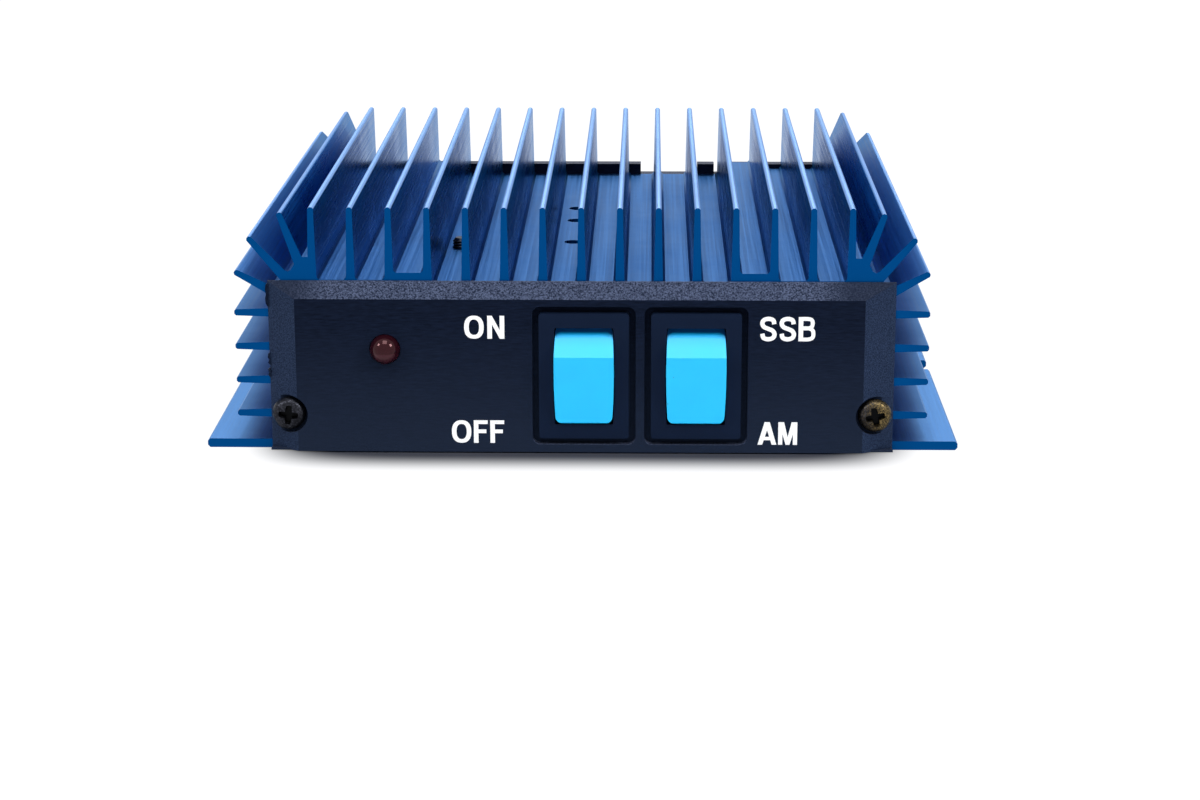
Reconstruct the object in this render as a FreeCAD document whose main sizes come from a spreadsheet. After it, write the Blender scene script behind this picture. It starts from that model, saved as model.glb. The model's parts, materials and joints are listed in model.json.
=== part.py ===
import FreeCAD, Part
import math
import os
import Sketcher
from FreeCAD import Placement, Rotation, Vector

# Mobile hf linear amplifier: a finned aluminium extrusion closed by a moulded front panel, a rear
# panel with two coaxial sockets and a flat base plate.  Millimetres.  X runs to the right, Y to the
# rear and Z up; the origin is the centre of the base plate's underside, level with the feet.

# ---------------------------------------------------------------------------------- driving sizes

SIZES = {
    # finned extrusion
    "sink_length": 100.0,
    "overall_height": 40.65,
    "end_fin_inset": 6.77,
    "fin_tip": 0.95,
    "fin_root": 1.55,
    "fin_chamfer": 0.28,
    "root_chamfer": 0.4,
    "deck_low": 27.4,
    "deck_mid": 28.6,
    "deck_raised": 29.8,
    "deck_thickness": 3.0,
    "body_width": 101.6,
    "wall_thickness": 1.9,
    "corner_top": 32.4,
    "corner_fin_root": 1.75,
    "side_fin_length": 6.2,
    "side_fin_top": 23.07,
    "side_fin_pitch": 5.69,
    "side_fin_tip": 1.05,
    "side_fin_root": 1.5,
    "foot_reach": 11.4,
    "foot_thickness": 1.5,
    "foot_chamfer": 0.4,
    "foot_slot_width": 6.4,
    "foot_slot_depth": 6.2,
    "rail_width": 4.6,
    "rail_top": 9.5,
    "lip_thickness": 0.9,
    "lip_width": 1.6,
    "plate_thickness": 1.5,
    "sliding_gap": 0.1,
    # end panels
    "panel_overhang": 0.55,
    "panel_foot": 0.2,
    "panel_top": 28.5,
    "panel_thickness": 2.8,
    "panel_land": 0.4,
    "left_bevel": 4.6,
    "right_bevel": 5.15,
    "top_bevel": 2.5,
    "ledge_height": 0.3,
    "ledge_set_back": 0.7,
    "rear_panel_height": 29.4,
    "rim_notch_left": 9.3,
    "rim_notch_width": 11.2,
    "rim_slit_left": 23.8,
    "rim_slit_width": 1.0,
    "tongue_length": 3.0,
    "tongue_thickness": 1.2,
    # panel screws, with a 3 mm thread
    "panel_screw_inset": 2.55,
    "panel_screw_height": 6.42,
    "panel_screw_length": 9.0,
    "counterbore_radius": 3.2,
    "counterbore_depth": 1.5,
    "thread_radius": 1.45,
    "thread_clearance": 0.05,
    "hole_radius": 1.7,
    "head_radius": 2.8,
    "head_height": 1.9,
    # rocker switches
    "switch_left": 0.45,
    "switch_pitch": 18.35,
    "switch_height": 13.2,
    "bezel_width": 14.75,
    "bezel_height": 21.1,
    "bezel_proud": 0.3,
    "bezel_round": 0.5,
    "recess_margin": 1.1,
    "recess_round": 1.3,
    "recess_depth": 1.5,
    "switch_body_width": 12.8,
    "switch_body_height": 19.2,
    "switch_body_back": 12.8,
    "cutout_gap": 0.1,
    "opening_gap": 0.15,
    "pivot_depth": 3.2,
    "well_radius": 8.85,
    "well_width": 10.5,
    "well_floor": 10.8,
    "rocker_radius": 8.7,
    "rocker_width": 9.8,
    "rocker_end_width": 9.35,
    "rocker_corner": 1.2,
    "rocker_shoulder": 2.85,
    "rocker_ridge": 6.15,
    "rocker_ridge_offset": 2.8,
    "rocker_skirt": 0.9,
    "rocker_wall": 1.2,
    "rocker_tilt": 9.0,
    "pivot_radius": 1.0,
    "pivot_clearance": 0.05,
    "stem_width": 3.8,
    "stem_end": 5.5,
    "plunger_width": 2.1,
    "plunger_end": 7.75,
    "blade_seat": 8.3,
    "blade_reach": 6.6,
    "blade_width": 3.0,
    "blade_thickness": 0.5,
    "blade_tilt": 7.0,
    "crease_radius": 0.5,
    "contact_gap": 0.12,
    "terminal_end": 18.8,
    "terminal_thickness": 0.8,
    # indicator lamp
    "lamp_left": -32.1,
    "lamp_height": 17.6,
    "lamp_radius": 2.5,
    "lamp_proud": 2.8,
    "lamp_gap": 0.05,
    "lamp_tail": 1.0,
    # coaxial sockets and the supply lead's bush
    "socket_inset": 20.8,
    "socket_height": 13.5,
    "barrel_radius": 7.94,
    "barrel_bore": 6.3,
    "barrel_length": 16.0,
    "shoulder_across": 19.0,
    "shoulder_thickness": 3.0,
    "nut_across": 20.0,
    "nut_thickness": 2.5,
    "contact_radius": 2.9,
    "contact_bore": 2.03,
    "contact_depth": 13.0,
    "contact_recess": 1.5,
    "insulator_recess": 9.0,
    "solder_tab": 7.0,
    "cable_bore": 3.0,
    "bush_radius": 5.0,
    "bush_rim": 1.6,
    # circuit board and what it carries
    "board_front_gap": 26.0,
    "board_back_gap": 14.0,
    "board_thickness": 1.6,
    "pillar_across": 5.5,
    "seen_screw_channel": -3.466,
    "seen_screw_place": 31.2,
    "seen_screw_proud": 1.8,
    "transistor_channel": -0.3816,
    "transistor_first": 54.15,
    "transistor_pitch": 11.1,
    "spare_hole_place": 35.5,
    "transistor_width": 10.16,
    "transistor_length": 15.6,
    "hole_to_tab_end": 2.8,
    "hole_to_case": 3.6,
    "hole_to_legs": 15.5,
    "tab_thickness": 1.3,
    "case_thickness": 4.5,
    "pad_thickness": 0.25,
}

FIN_COUNT = 15
SIDE_FIN_COUNT = 4
CHANNELS_RAISED = 4
CHANNELS_MID = 5

# The three fins that fan out of each top corner: how far in from the side wall and how far above the
# lowest floor each stands, its lean from the vertical in degrees, and its length.
CORNER_FINS = (
    ("steep", 4.45, 4.6, 20.6, 8.25),
    ("middle", 1.55, 2.4, 41.6, 7.8),
    ("low", -0.4, -0.44, 62.1, 6.3),
)

# --------------------------------------------------------------------- sizes that stay formulas

class Size:
    """A length that carries its number and its formula on the sheet together."""

    def __init__(self, value, formula):
        self.value = value
        self.formula = formula

    def __add__(self, other):
        other = as_size(other)
        return Size(self.value + other.value, f"({self.formula} + {other.formula})")

    def __sub__(self, other):
        other = as_size(other)
        return Size(self.value - other.value, f"({self.formula} - {other.formula})")

    def __mul__(self, other):
        other = as_size(other)
        return Size(self.value * other.value, f"({self.formula} * {other.formula})")

    def __truediv__(self, other):
        other = as_size(other)
        return Size(self.value / other.value, f"({self.formula} / {other.formula})")

    def __radd__(self, other):
        return as_size(other) + self

    def __rsub__(self, other):
        return as_size(other) - self

    def __rmul__(self, other):
        return as_size(other) * self

    def __neg__(self):
        return as_size(0) - self


def as_size(number):
    """Plain numbers join in as constants."""
    return number if isinstance(number, Size) else Size(float(number), f"({float(number)})")


def square_root(size):
    return Size(math.sqrt(size.value), f"sqrt({size.formula})")


def sine(size):
    return Size(math.sin(math.radians(size.value)), f"sin({size.formula})")


def cosine(size):
    return Size(math.cos(math.radians(size.value)), f"cos({size.formula})")


doc = FreeCAD.newDocument("hf_linear_amplifier")
sheet = doc.addObject("Spreadsheet::Sheet", "Sizes")
for row, (name, number) in enumerate(SIZES.items(), start=1):
    sheet.set(f"A{row}", name)
    sheet.set(f"B{row}", str(number))
    sheet.setAlias(f"B{row}", name)
doc.recompute()


class Sheet:
    """Reads a cell of the sheet as a Size: fin_pitch."""

    def __getattr__(self, name):
        return Size(SIZES[name], f"Sizes.{name}")


size = Sheet()
ZERO = as_size(0)
pieces = {}


# --------------------------------------------------------------------------------- small helpers

def bind(thing, **sizes):
    """Binds properties to formulas; a double underscore stands for a dot in the property's path."""
    for path, value in sizes.items():
        thing.setExpression(path.replace("__", "."), as_size(value).formula)
    return thing


def place(thing, x=0, y=0, z=0):
    return bind(thing, Placement__Base__x=x, Placement__Base__y=y, Placement__Base__z=z)


def block(name, x, y, z):
    """A box between three pairs of low and high places."""
    box = doc.addObject("Part::Box", name)
    bind(box, Length=x[1] - x[0], Width=y[1] - y[0], Height=z[1] - z[0])
    return place(box, x[0], y[0], z[0])


AXIS_TURN = {
    "X": Rotation(Vector(0, 1, 0), 90),
    "Y": Rotation(Vector(1, 0, 0), -90),
    "Z": Rotation(),
}


def rod(name, axis, radius, span, x=0, y=0, z=0, narrow=None):
    """A cylinder along an axis between two places, or a cone that ends at the radius narrow."""
    kind = "Part::Cylinder" if narrow is None else "Part::Cone"
    thing = doc.addObject(kind, name)
    thing.Placement = Placement(Vector(), AXIS_TURN[axis])
    if narrow is None:
        bind(thing, Radius=radius)
    else:
        bind(thing, Radius1=radius, Radius2=narrow)
    bind(thing, Height=span[1] - span[0])
    start = {"X": (span[0], y, z), "Y": (x, span[0], z), "Z": (x, y, span[0])}[axis]
    return place(thing, *start)


def fuse(name, *things):
    joined = doc.addObject("Part::MultiFuse", name)
    joined.Shapes = list(things)
    return joined


def cut(name, base, *tools):
    tool = tools[0] if len(tools) == 1 else fuse(f"{name}_tools", *tools)
    result = doc.addObject("Part::Cut", name)
    result.Base = base
    result.Tool = tool
    return result


def common(name, first, second):
    result = doc.addObject("Part::MultiCommon", name)
    result.Shapes = [first, second]
    return result


def group(name, things):
    """Separate solids that share one node, such as a set of screws."""
    together = doc.addObject("Part::Compound", name)
    together.Links = list(things)
    return together


def keep(node, thing):
    """Names a finished sub-part, which names its file."""
    thing.Label = node
    pieces[node] = thing
    return thing


class Arc:
    """An outline's corner point from which an arc about a centre runs to the next point."""

    def __init__(self, u, v, centre_u, centre_v, inward=False):
        self.u = as_size(u)
        self.v = as_size(v)
        self.centre_u = as_size(centre_u)
        self.centre_v = as_size(centre_v)
        self.inward = inward


def plane_of(body, role):
    return [feature for feature in body.Origin.OriginFeatures if feature.Role == f"{role}_Plane"][0]


def draw(body, name, plane, outline, holes=()):
    """A sketch with one closed outline, drawn anticlockwise, and round holes (u, v, radius)."""
    sketch = body.newObject("Sketcher::SketchObject", name)
    sketch.AttachmentSupport = [(plane_of(body, plane), "")]
    sketch.MapMode = "FlatFace"
    corners = [corner if isinstance(corner, Arc) else tuple(map(as_size, corner)) for corner in outline]
    starts = [(corner.u, corner.v) if isinstance(corner, Arc) else corner for corner in corners]

    def pin_point(edge, point, u=None, v=None):
        for kind, value in (("DistanceX", u), ("DistanceY", v)):
            if value is not None:
                constraint = Sketcher.Constraint(kind, -1, 1, edge, point, value.value)
                index = sketch.addConstraint(constraint)
                sketch.setExpression(f"Constraints[{index}]", value.formula)

    edges = []
    for index, corner in enumerate(corners):
        (u0, v0), (u1, v1) = starts[index], starts[(index + 1) % len(corners)]
        first = Vector(u0.value, v0.value, 0)
        last = Vector(u1.value, v1.value, 0)
        if not isinstance(corner, Arc):
            edges.append((sketch.addGeometry(Part.LineSegment(first, last)), 1, 2))
            continue
        middle = Vector(corner.centre_u.value, corner.centre_v.value, 0)
        if corner.inward:
            first, last = last, first
        angles = [math.atan2(end.y - middle.y, end.x - middle.x) for end in (first, last)]
        circle = Part.Circle(middle, Vector(0, 0, 1), (first - middle).Length)
        arc = sketch.addGeometry(Part.ArcOfCircle(circle, *angles))
        edges.append((arc, 2, 1) if corner.inward else (arc, 1, 2))
    for (edge, _, end), (following, start, _) in zip(edges, edges[1:] + edges[:1]):
        sketch.addConstraint(Sketcher.Constraint("Coincident", edge, end, following, start))
    for (edge, start, _), (u, v) in zip(edges, starts):
        pin_point(edge, start, u, v)
    for index, corner in enumerate(corners):
        if isinstance(corner, Arc):
            (u0, v0), (u1, v1) = starts[index], starts[(index + 1) % len(corners)]
            level = abs(u1.value - u0.value) > abs(v1.value - v0.value)
            if level:
                pin_point(edges[index][0], 3, v=corner.centre_v)
            else:
                pin_point(edges[index][0], 3, u=corner.centre_u)
    for u, v, radius in holes:
        u, v, radius = as_size(u), as_size(v), as_size(radius)
        circle = Part.Circle(Vector(u.value, v.value, 0), Vector(0, 0, 1), radius.value)
        edge = sketch.addGeometry(circle)
        pin_point(edge, 3, u, v)
        index = sketch.addConstraint(Sketcher.Constraint("Radius", edge, radius.value))
        sketch.setExpression(f"Constraints[{index}]", radius.formula)
    return sketch


def lift(sketch, plane, low, high):
    """Sets a sketch where its pad starts; the pad runs along -Y from an XZ sketch."""
    start = -high if plane == "XZ" else low
    return bind(sketch, AttachmentOffset__Base__z=start)


def prism(name, plane, outline, low, high, holes=()):
    """A body of one sketch padded between two places along the sketch plane's own axis."""
    low, high = as_size(low), as_size(high)
    body = doc.addObject("PartDesign::Body", name)
    sketch = lift(draw(body, f"{name}_sketch", plane, outline, holes), plane, low, high)
    pad = body.newObject("PartDesign::Pad", f"{name}_pad")
    pad.Profile = sketch
    bind(pad, Length=high - low)
    return body


def lathe(name, outline):
    """A body turned about its Z axis from an outline of (radius, height) points."""
    body = doc.addObject("PartDesign::Body", name)
    sketch = draw(body, f"{name}_sketch", "XZ", outline)
    turned = body.newObject("PartDesign::Revolution", f"{name}_turned")
    turned.Profile = sketch
    turned.ReferenceAxis = (sketch, ["V_Axis"])
    turned.Angle = 360
    return body


def turned_along(body, axis, x=0, y=0, z=0, backwards=False):
    """Lays a turned body along an axis, its foot at a place."""
    turn = AXIS_TURN[axis]
    if backwards:
        turn = turn.multiply(Rotation(Vector(1, 0, 0), 180))
    body.Placement = Placement(Vector(), turn)
    return place(body, x, y, z)


def rectangle(width, height, centre_u=0, centre_v=0):
    u, v, du, dv = as_size(centre_u), as_size(centre_v), width / 2, height / 2
    return [(u - du, v - dv), (u + du, v - dv), (u + du, v + dv), (u - du, v + dv)]


def rounded_rectangle(width, height, radius, centre_u=0, centre_v=0):
    u, v, radius = as_size(centre_u), as_size(centre_v), as_size(radius)
    du, dv = width / 2, height / 2
    iu, iv = du - radius, dv - radius
    return [
        (u - iu, v - dv),
        Arc(u + iu, v - dv, u + iu, v - iv),
        (u + du, v - iv),
        Arc(u + du, v + iv, u + iu, v + iv),
        (u + iu, v + dv),
        Arc(u - iu, v + dv, u - iu, v + iv),
        (u - du, v + iv),
        Arc(u - du, v - iv, u - iu, v - iv),
    ]


# ------------------------------------------------------------------------------- finned extrusion

half_length = size.sink_length / 2
half_body = size.body_width / 2
half_foot = half_body + size.foot_reach
inner_wall = half_body - size.wall_thickness
rail_inner = inner_wall - size.rail_width
lip_edge = inner_wall - size.lip_width
groove_edge = inner_wall + size.wall_thickness / 2
plate_bottom = size.lip_thickness + size.sliding_gap / 2
groove_top = size.lip_thickness + size.plate_thickness + size.sliding_gap
deck_under = size.deck_low - size.deck_thickness
end_fin = half_body - size.end_fin_inset
fin_pitch = end_fin * 2 / (FIN_COUNT - 1)
screw_left = half_body - size.panel_screw_inset
tapped = size.thread_radius + size.thread_clearance


def hexagon(across_flats, x, y):
    corner = across_flats / 2 / cosine(as_size(30))
    turns = [as_size(turn) for turn in range(0, 360, 60)]
    return [(x + corner * cosine(turn), y + corner * sine(turn)) for turn in turns]


def other_side(corners):
    """The mirror image of a run of corners, reordered so that the outline stays anticlockwise."""
    points = [(corner.u, corner.v) if isinstance(corner, Arc) else corner for corner in corners]
    result = []
    for index in reversed(range(len(corners))):
        u, v = points[index]
        before = corners[index - 1]
        if isinstance(before, Arc):
            result.append(Arc(-u, v, -before.centre_u, before.centre_v))
        else:
            result.append((-u, v))
    return result


def section_outline():
    """The extrusion's section without its fins."""
    raised = fin_pitch * CHANNELS_RAISED
    middle = fin_pitch * CHANNELS_MID
    chamfer = size.foot_chamfer
    right = [
        (lip_edge, ZERO),
        (half_foot - chamfer, ZERO),
        (half_foot, chamfer),
        (half_foot, size.foot_thickness - chamfer),
        (half_foot - chamfer, size.foot_thickness),
        (half_body, size.foot_thickness),
        (half_body, size.deck_low + 0.1),
        (half_body - 1.5, size.deck_low + 1.1),
        (half_body - 2.35, size.deck_low + 2.75),
        (half_body - 2.75, size.deck_low + 2.55),
        (half_body - 3.3, size.deck_low + 2.8),
        (half_body - 4.6, size.corner_top),
        (end_fin, size.corner_top),
        (end_fin, size.deck_mid),
        (middle, size.deck_mid),
        (middle, size.deck_raised),
        (raised, size.deck_raised),
        (raised, size.deck_low),
    ]
    inside = [
        (inner_wall, deck_under),
        (inner_wall, size.rail_top),
        (rail_inner, size.rail_top),
        (rail_inner, groove_top),
        (groove_edge, groove_top),
        (groove_edge, size.lip_thickness),
        (lip_edge, size.lip_thickness),
    ]
    return right + other_side(right) + other_side(inside) + inside


def blade_sketch(body, name, u, v, lean, length, root, tip, buried):
    """A tapered fin with a chamfered tip, standing on (u, v) and leaning to the right."""
    chamfer = size.fin_chamfer
    sketch = draw(body, name, "XZ", [
        (-root / 2, -buried),
        (root / 2, -buried),
        (tip / 2, length - chamfer),
        (tip / 2 - chamfer, length),
        (chamfer - tip / 2, length),
        (-tip / 2, length - chamfer),
    ])
    sketch.AttachmentOffset = Placement(Vector(), Rotation(Vector(0, 0, 1), 1))
    bind(sketch, AttachmentOffset__Base__x=u, AttachmentOffset__Base__y=v)
    bind(sketch, AttachmentOffset__Base__z=-half_length, AttachmentOffset__Rotation__Angle=-as_size(lean))
    return sketch


def pad_through(body, sketch):
    """Pads a section over the extrusion's whole length."""
    pad = body.newObject("PartDesign::Pad", f"{sketch.Name}_pad")
    pad.Profile = sketch
    bind(pad, Length=size.sink_length)
    return pad


def mirrored(body, name, originals):
    mirror = body.newObject("PartDesign::Mirrored", name)
    mirror.Originals = originals
    mirror.MirrorPlane = (plane_of(body, "YZ"), [""])
    body.Tip = mirror
    return mirror


def row_of(body, name, original, axis, count, pitch):
    pattern = body.newObject("PartDesign::LinearPattern", name)
    pattern.Originals = [original]
    direction = [feature for feature in body.Origin.OriginFeatures if feature.Role == f"{axis}_Axis"][0]
    pattern.Direction = (direction, [""])
    pattern.Occurrences = count
    bind(pattern, Length=pitch * (count - 1))
    body.Tip = pattern
    return pattern


def ease_inner_edges(body, width):
    """Chamfers the concave edges that run along the floors between the upright fins."""
    doc.recompute()
    base = body.Tip
    shape = base.Shape
    chosen = []
    for index, edge in enumerate(shape.Edges, start=1):
        box = edge.BoundBox
        if box.YLength < SIZES["sink_length"] - 1 or box.ZMin < deck_under.value + 1:
            continue
        if abs(edge.CenterOfMass.x) > end_fin.value:
            continue
        first, second = shape.ancestorsOfType(edge, Part.Face)
        if first.normalAt(0, 0).dot(second.CenterOfMass - edge.CenterOfMass) > 0.01:
            chosen.append(f"Edge{index}")
    chamfer = body.newObject("PartDesign::Chamfer", "eased_roots")
    chamfer.Base = (base, chosen)
    bind(chamfer, Size=width)
    body.Tip = chamfer
    return chamfer


def pocket(body, name, plane, at, depth, outline=(), holes=(), upwards=False):
    """Cuts an outline and round holes into a body from a place along the plane's axis."""
    sketch = draw(body, name, plane, outline, holes)
    bind(sketch, AttachmentOffset__Base__z=-as_size(at) if plane == "XZ" else at)
    hollow = body.newObject("PartDesign::Pocket", f"{name}_pocket")
    hollow.Profile = sketch
    hollow.Reversed = upwards
    bind(hollow, Length=depth)
    body.Tip = hollow
    return hollow


# places along the deck are measured from the extrusion's front end
deck_front = -half_length
pillar_place = (fin_pitch * size.seen_screw_channel, deck_front + size.seen_screw_place)
transistor_left = fin_pitch * size.transistor_channel
transistor_places = [
    (transistor_left, deck_front + size.transistor_first),
    (transistor_left, deck_front + size.transistor_first + size.transistor_pitch),
]


def heatsink():
    body = doc.addObject("PartDesign::Body", "heatsink_body")
    section = draw(body, "section", "XZ", section_outline())
    bind(section, AttachmentOffset__Base__z=-half_length)
    pad_through(body, section)
    # fifteen upright fins stand on the lowest floor, so that all of them are one length
    fin = blade_sketch(body, "fin", -end_fin, size.deck_low, 0, size.overall_height - size.deck_low,
                       size.fin_root, size.fin_tip, 1.0)
    row_of(body, "fins", pad_through(body, fin), "X", FIN_COUNT, fin_pitch)
    # four level fins and three fanned corner fins on the right, then the same on the left
    right_side = []
    for index in range(SIDE_FIN_COUNT):
        height = size.side_fin_top - size.side_fin_pitch * index
        side = blade_sketch(body, f"side_fin_{index + 1}", half_body, height, 90, size.side_fin_length,
                            size.side_fin_root, size.side_fin_tip, 1.0)
        right_side.append(pad_through(body, side))
    for name, inwards, upwards, lean, length in CORNER_FINS:
        corner = blade_sketch(body, f"corner_fin_{name}", half_body - inwards, size.deck_low + upwards,
                              lean, as_size(length), size.corner_fin_root, size.fin_tip, 2.0)
        right_side.append(pad_through(body, corner))
    mirrored(body, "left_side", right_side)
    # six-sided channels along the side rails take the end panels' thread-forming screws
    for side in (-1, 1):
        pocket(body, f"channel_{side + 1}", "XZ", -half_length - 1, size.sink_length + 2,
               hexagon(tapped * 2, screw_left * side, size.panel_screw_height))
    ease_inner_edges(body, size.root_chamfer)
    # open slots in the feet, half way along
    slot_radius = size.foot_slot_width / 2
    slot_end = half_foot - size.foot_slot_depth + slot_radius
    slot = [
        (slot_end, -slot_radius),
        (half_foot + 1, -slot_radius),
        (half_foot + 1, slot_radius),
        Arc(slot_end, slot_radius, slot_end, ZERO),
    ]
    above = size.foot_thickness + 0.1
    pocket(body, "foot_slot_right", "XY", above, above + 0.1, slot)
    pocket(body, "foot_slot_left", "XY", above, above + 0.1, other_side(slot))
    # tapped holes through the deck: one spare, two for the transistors, one for the board's pillar
    tapped_places = [*transistor_places, (transistor_left, deck_front + size.spare_hole_place), pillar_place]
    pocket(body, "deck_holes", "XY", size.deck_low, size.deck_thickness,
           holes=[(x, y, tapped) for x, y in tapped_places])
    return body


keep("heatsink", heatsink())


# ------------------------------------------------------------------------------------- end panels

half_panel = half_body + size.panel_overhang
panel_back = -half_length
panel_face = panel_back - size.panel_thickness
rear_face = half_length + size.panel_thickness
switch_places = {"power": size.switch_left, "mode": size.switch_left + size.switch_pitch}
socket_left = half_body - size.socket_inset
socket_places = {"antenna": socket_left, "radio": -socket_left}


def front_panel():
    body = doc.addObject("PartDesign::Body", "front_panel_body")
    foot = size.panel_foot
    outer = [(-half_panel, foot), (half_panel, foot), (half_panel, size.panel_top),
             (-half_panel, size.panel_top)]
    face_left = size.left_bevel - half_panel
    face_right = half_panel - size.right_bevel
    face_top = size.panel_top - size.top_bevel
    inner = [(face_left, foot), (face_right, foot), (face_right, face_top), (face_left, face_top)]
    edge = body.newObject("PartDesign::Pad", "panel_edge")
    edge.Profile = lift(draw(body, "panel_outline", "XZ", outer), "XZ", 0, panel_back)
    bind(edge, Length=size.panel_land)
    bevelled = body.newObject("PartDesign::AdditiveLoft", "panel_bevels")
    bevelled.Profile = lift(draw(body, "bevel_foot", "XZ", outer), "XZ", 0, panel_back - size.panel_land)
    bevelled.Sections = [(lift(draw(body, "bevel_head", "XZ", inner), "XZ", 0, panel_face), [""])]
    body.Tip = bevelled
    # two sunk places for the switches, each with its cut-out
    margin = size.recess_margin * 2
    for name, across in switch_places.items():
        recess = rounded_rectangle(size.bezel_width + margin, size.bezel_height + margin,
                                   size.recess_round, across, size.switch_height)
        cutout = rectangle(size.switch_body_width + size.cutout_gap * 2,
                           size.switch_body_height + size.cutout_gap * 2, across, size.switch_height)
        pocket(body, f"{name}_recess", "XZ", panel_face, size.recess_depth, recess)
        pocket(body, f"{name}_cutout", "XZ", panel_face, size.panel_thickness + 0.1, cutout)
    screws = [(screw_left * side, size.panel_screw_height) for side in (-1, 1)]
    pocket(body, "counterbores", "XZ", panel_face - 1, size.counterbore_depth + 1,
           holes=[(x, z, size.counterbore_radius) for x, z in screws])
    # behind the screw heads the clearance holes have six sides
    for x, z in screws:
        pocket(body, f"screw_hole_{x.value > 0}", "XZ", panel_face - 1, size.panel_thickness + 1.1,
               hexagon(size.hole_radius * 2, x, z))
    pocket(body, "lamp_hole", "XZ", panel_face, size.panel_thickness + 0.1,
           holes=[(size.lamp_left, size.lamp_height, size.lamp_radius + size.lamp_gap)])
    # two tongues slip in under the deck, left and right of the switches
    tongue_height = (deck_under - 0.2 - size.tongue_thickness, deck_under - 0.2)
    tongue_depth = (panel_back - 0.5, panel_back + size.tongue_length)
    left_end = switch_places["power"] - size.bezel_width
    right_end = switch_places["mode"] + size.bezel_width / 2 + 3
    tongues = [
        block("tongue_left", (3 - inner_wall, left_end), tongue_depth, tongue_height),
        block("tongue_right", (right_end, inner_wall - 3), tongue_depth, tongue_height),
    ]
    # a thin ledge along the foot fills the corners below the side bevels
    ledge = block("panel_ledge", (-half_panel, half_panel), (panel_face + size.ledge_set_back, panel_back),
                  (foot, foot + size.ledge_height))
    return fuse("front_panel_joined", body, ledge, *tongues)


def rear_panel():
    floor = size.deck_low
    rim = size.rear_panel_height
    notch = size.rim_notch_left
    notch_end = notch + size.rim_notch_width
    slit = size.rim_slit_left
    slit_end = slit + size.rim_slit_width
    outline = [
        (-half_panel, ZERO), (half_panel, ZERO), (half_panel, rim - 3),
        (end_fin + 4, rim - 1), (end_fin, rim),
        (slit_end, rim), (slit_end, floor), (slit, floor), (slit, rim),
        (notch_end, rim), (notch_end, floor), (notch, floor), (notch, rim),
        (-end_fin, rim), (-end_fin - 4, rim - 1), (-half_panel, rim - 3),
    ]
    holes = [(ZERO, size.socket_height, size.bush_radius + size.lamp_gap)]
    for across in socket_places.values():
        holes.append((across, size.socket_height, size.barrel_radius + size.sliding_gap))
    body = prism("rear_panel_body", "XZ", outline, half_length, rear_face, holes)
    for side in (-1, 1):
        pocket(body, f"rear_screw_hole_{side + 1}", "XZ", half_length - 1, size.panel_thickness + 2,
               hexagon(size.hole_radius * 2, screw_left * side, size.panel_screw_height))
    return body


def base_plate():
    """Slides into the extrusion's grooves from the rear; the end panels keep it in."""
    edge = groove_edge - size.sliding_gap
    return block("plate_blank", (-edge, edge), (-half_length, half_length),
                 (plate_bottom, plate_bottom + size.plate_thickness))


keep("front_panel", front_panel())
keep("rear_panel", rear_panel())
keep("base_plate", base_plate())


# ----------------------------------------------------------------------------------------- screws

def screw(name, length):
    """A cheese-head screw along Z, its head above height zero, its hidden thread drawn with six sides."""
    head = rod(f"{name}_head", "Z", size.head_radius, (ZERO, size.head_height))
    thread = prism(f"{name}_thread", "XY", hexagon(size.thread_radius * 1.7, 0, 0), -length, as_size(0.5))
    return fuse(name, head, thread)


def screw_set(name, places, length):
    """Identical screws; each place is (x, y, z, axis, head backwards)."""
    return group(name, [
        turned_along(screw(f"{name}_{index + 1}", length), axis, x, y, z, backwards)
        for index, (x, y, z, axis, backwards) in enumerate(places)
    ])


head_seat = panel_face + size.counterbore_depth
keep("front_panel_screws", screw_set("front_screws", [
    (screw_left * side, head_seat, size.panel_screw_height, "Y", True) for side in (-1, 1)
], size.panel_screw_length))
keep("rear_panel_screws", screw_set("rear_screws", [
    (screw_left * side, rear_face, size.panel_screw_height, "Y", False) for side in (-1, 1)
], size.panel_screw_length))


# -------------------------------------------------------------------------------- rocker switches

def about_x(thing, angle, x, y, z):
    """Turns a thing about the X axis by an angle in degrees, then sets it down."""
    thing.Placement = Placement(Vector(), Rotation(Vector(1, 0, 0), 1))
    bind(thing, Placement__Rotation__Angle=angle)
    return place(thing, x, y, z)


pivot_y = panel_face + size.pivot_depth
switch_back = pivot_y + size.switch_body_back
blade_end = size.blade_reach
contact_face = (size.blade_seat + blade_end * sine(size.blade_tilt) + size.blade_thickness / 2
                + size.contact_gap)
common_face = size.blade_seat + size.crease_radius + size.contact_gap
switch_contacts = {"power": ("common", "lower"), "mode": ("common", "lower", "upper")}


def terminal_places(contacts):
    """How far up each terminal stands from the pivot, and where its front face is."""
    reach = blade_end - size.terminal_thickness / 2
    rows = {"common": (ZERO, common_face), "lower": (-reach, contact_face), "upper": (reach, contact_face)}
    return [rows[name] for name in contacts]


def bowed_outline(half_width, half_end, half_tall, corner):
    """A tall outline with round corners whose sides bow out a little."""
    straight = half_tall - corner
    bow = half_width - half_end
    bow_radius = (straight * straight + bow * bow) / (bow * 2)
    bow_centre = bow_radius - half_width
    inset = half_end - corner
    return [
        (-inset, -half_tall),
        Arc(inset, -half_tall, inset, -straight),
        Arc(half_end, -straight, -bow_centre, ZERO),
        Arc(half_end, straight, inset, straight),
        (inset, half_tall),
        Arc(-inset, half_tall, -inset, straight),
        Arc(-half_end, straight, bow_centre, ZERO),
        Arc(-half_end, -straight, -inset, -straight),
    ]


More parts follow.
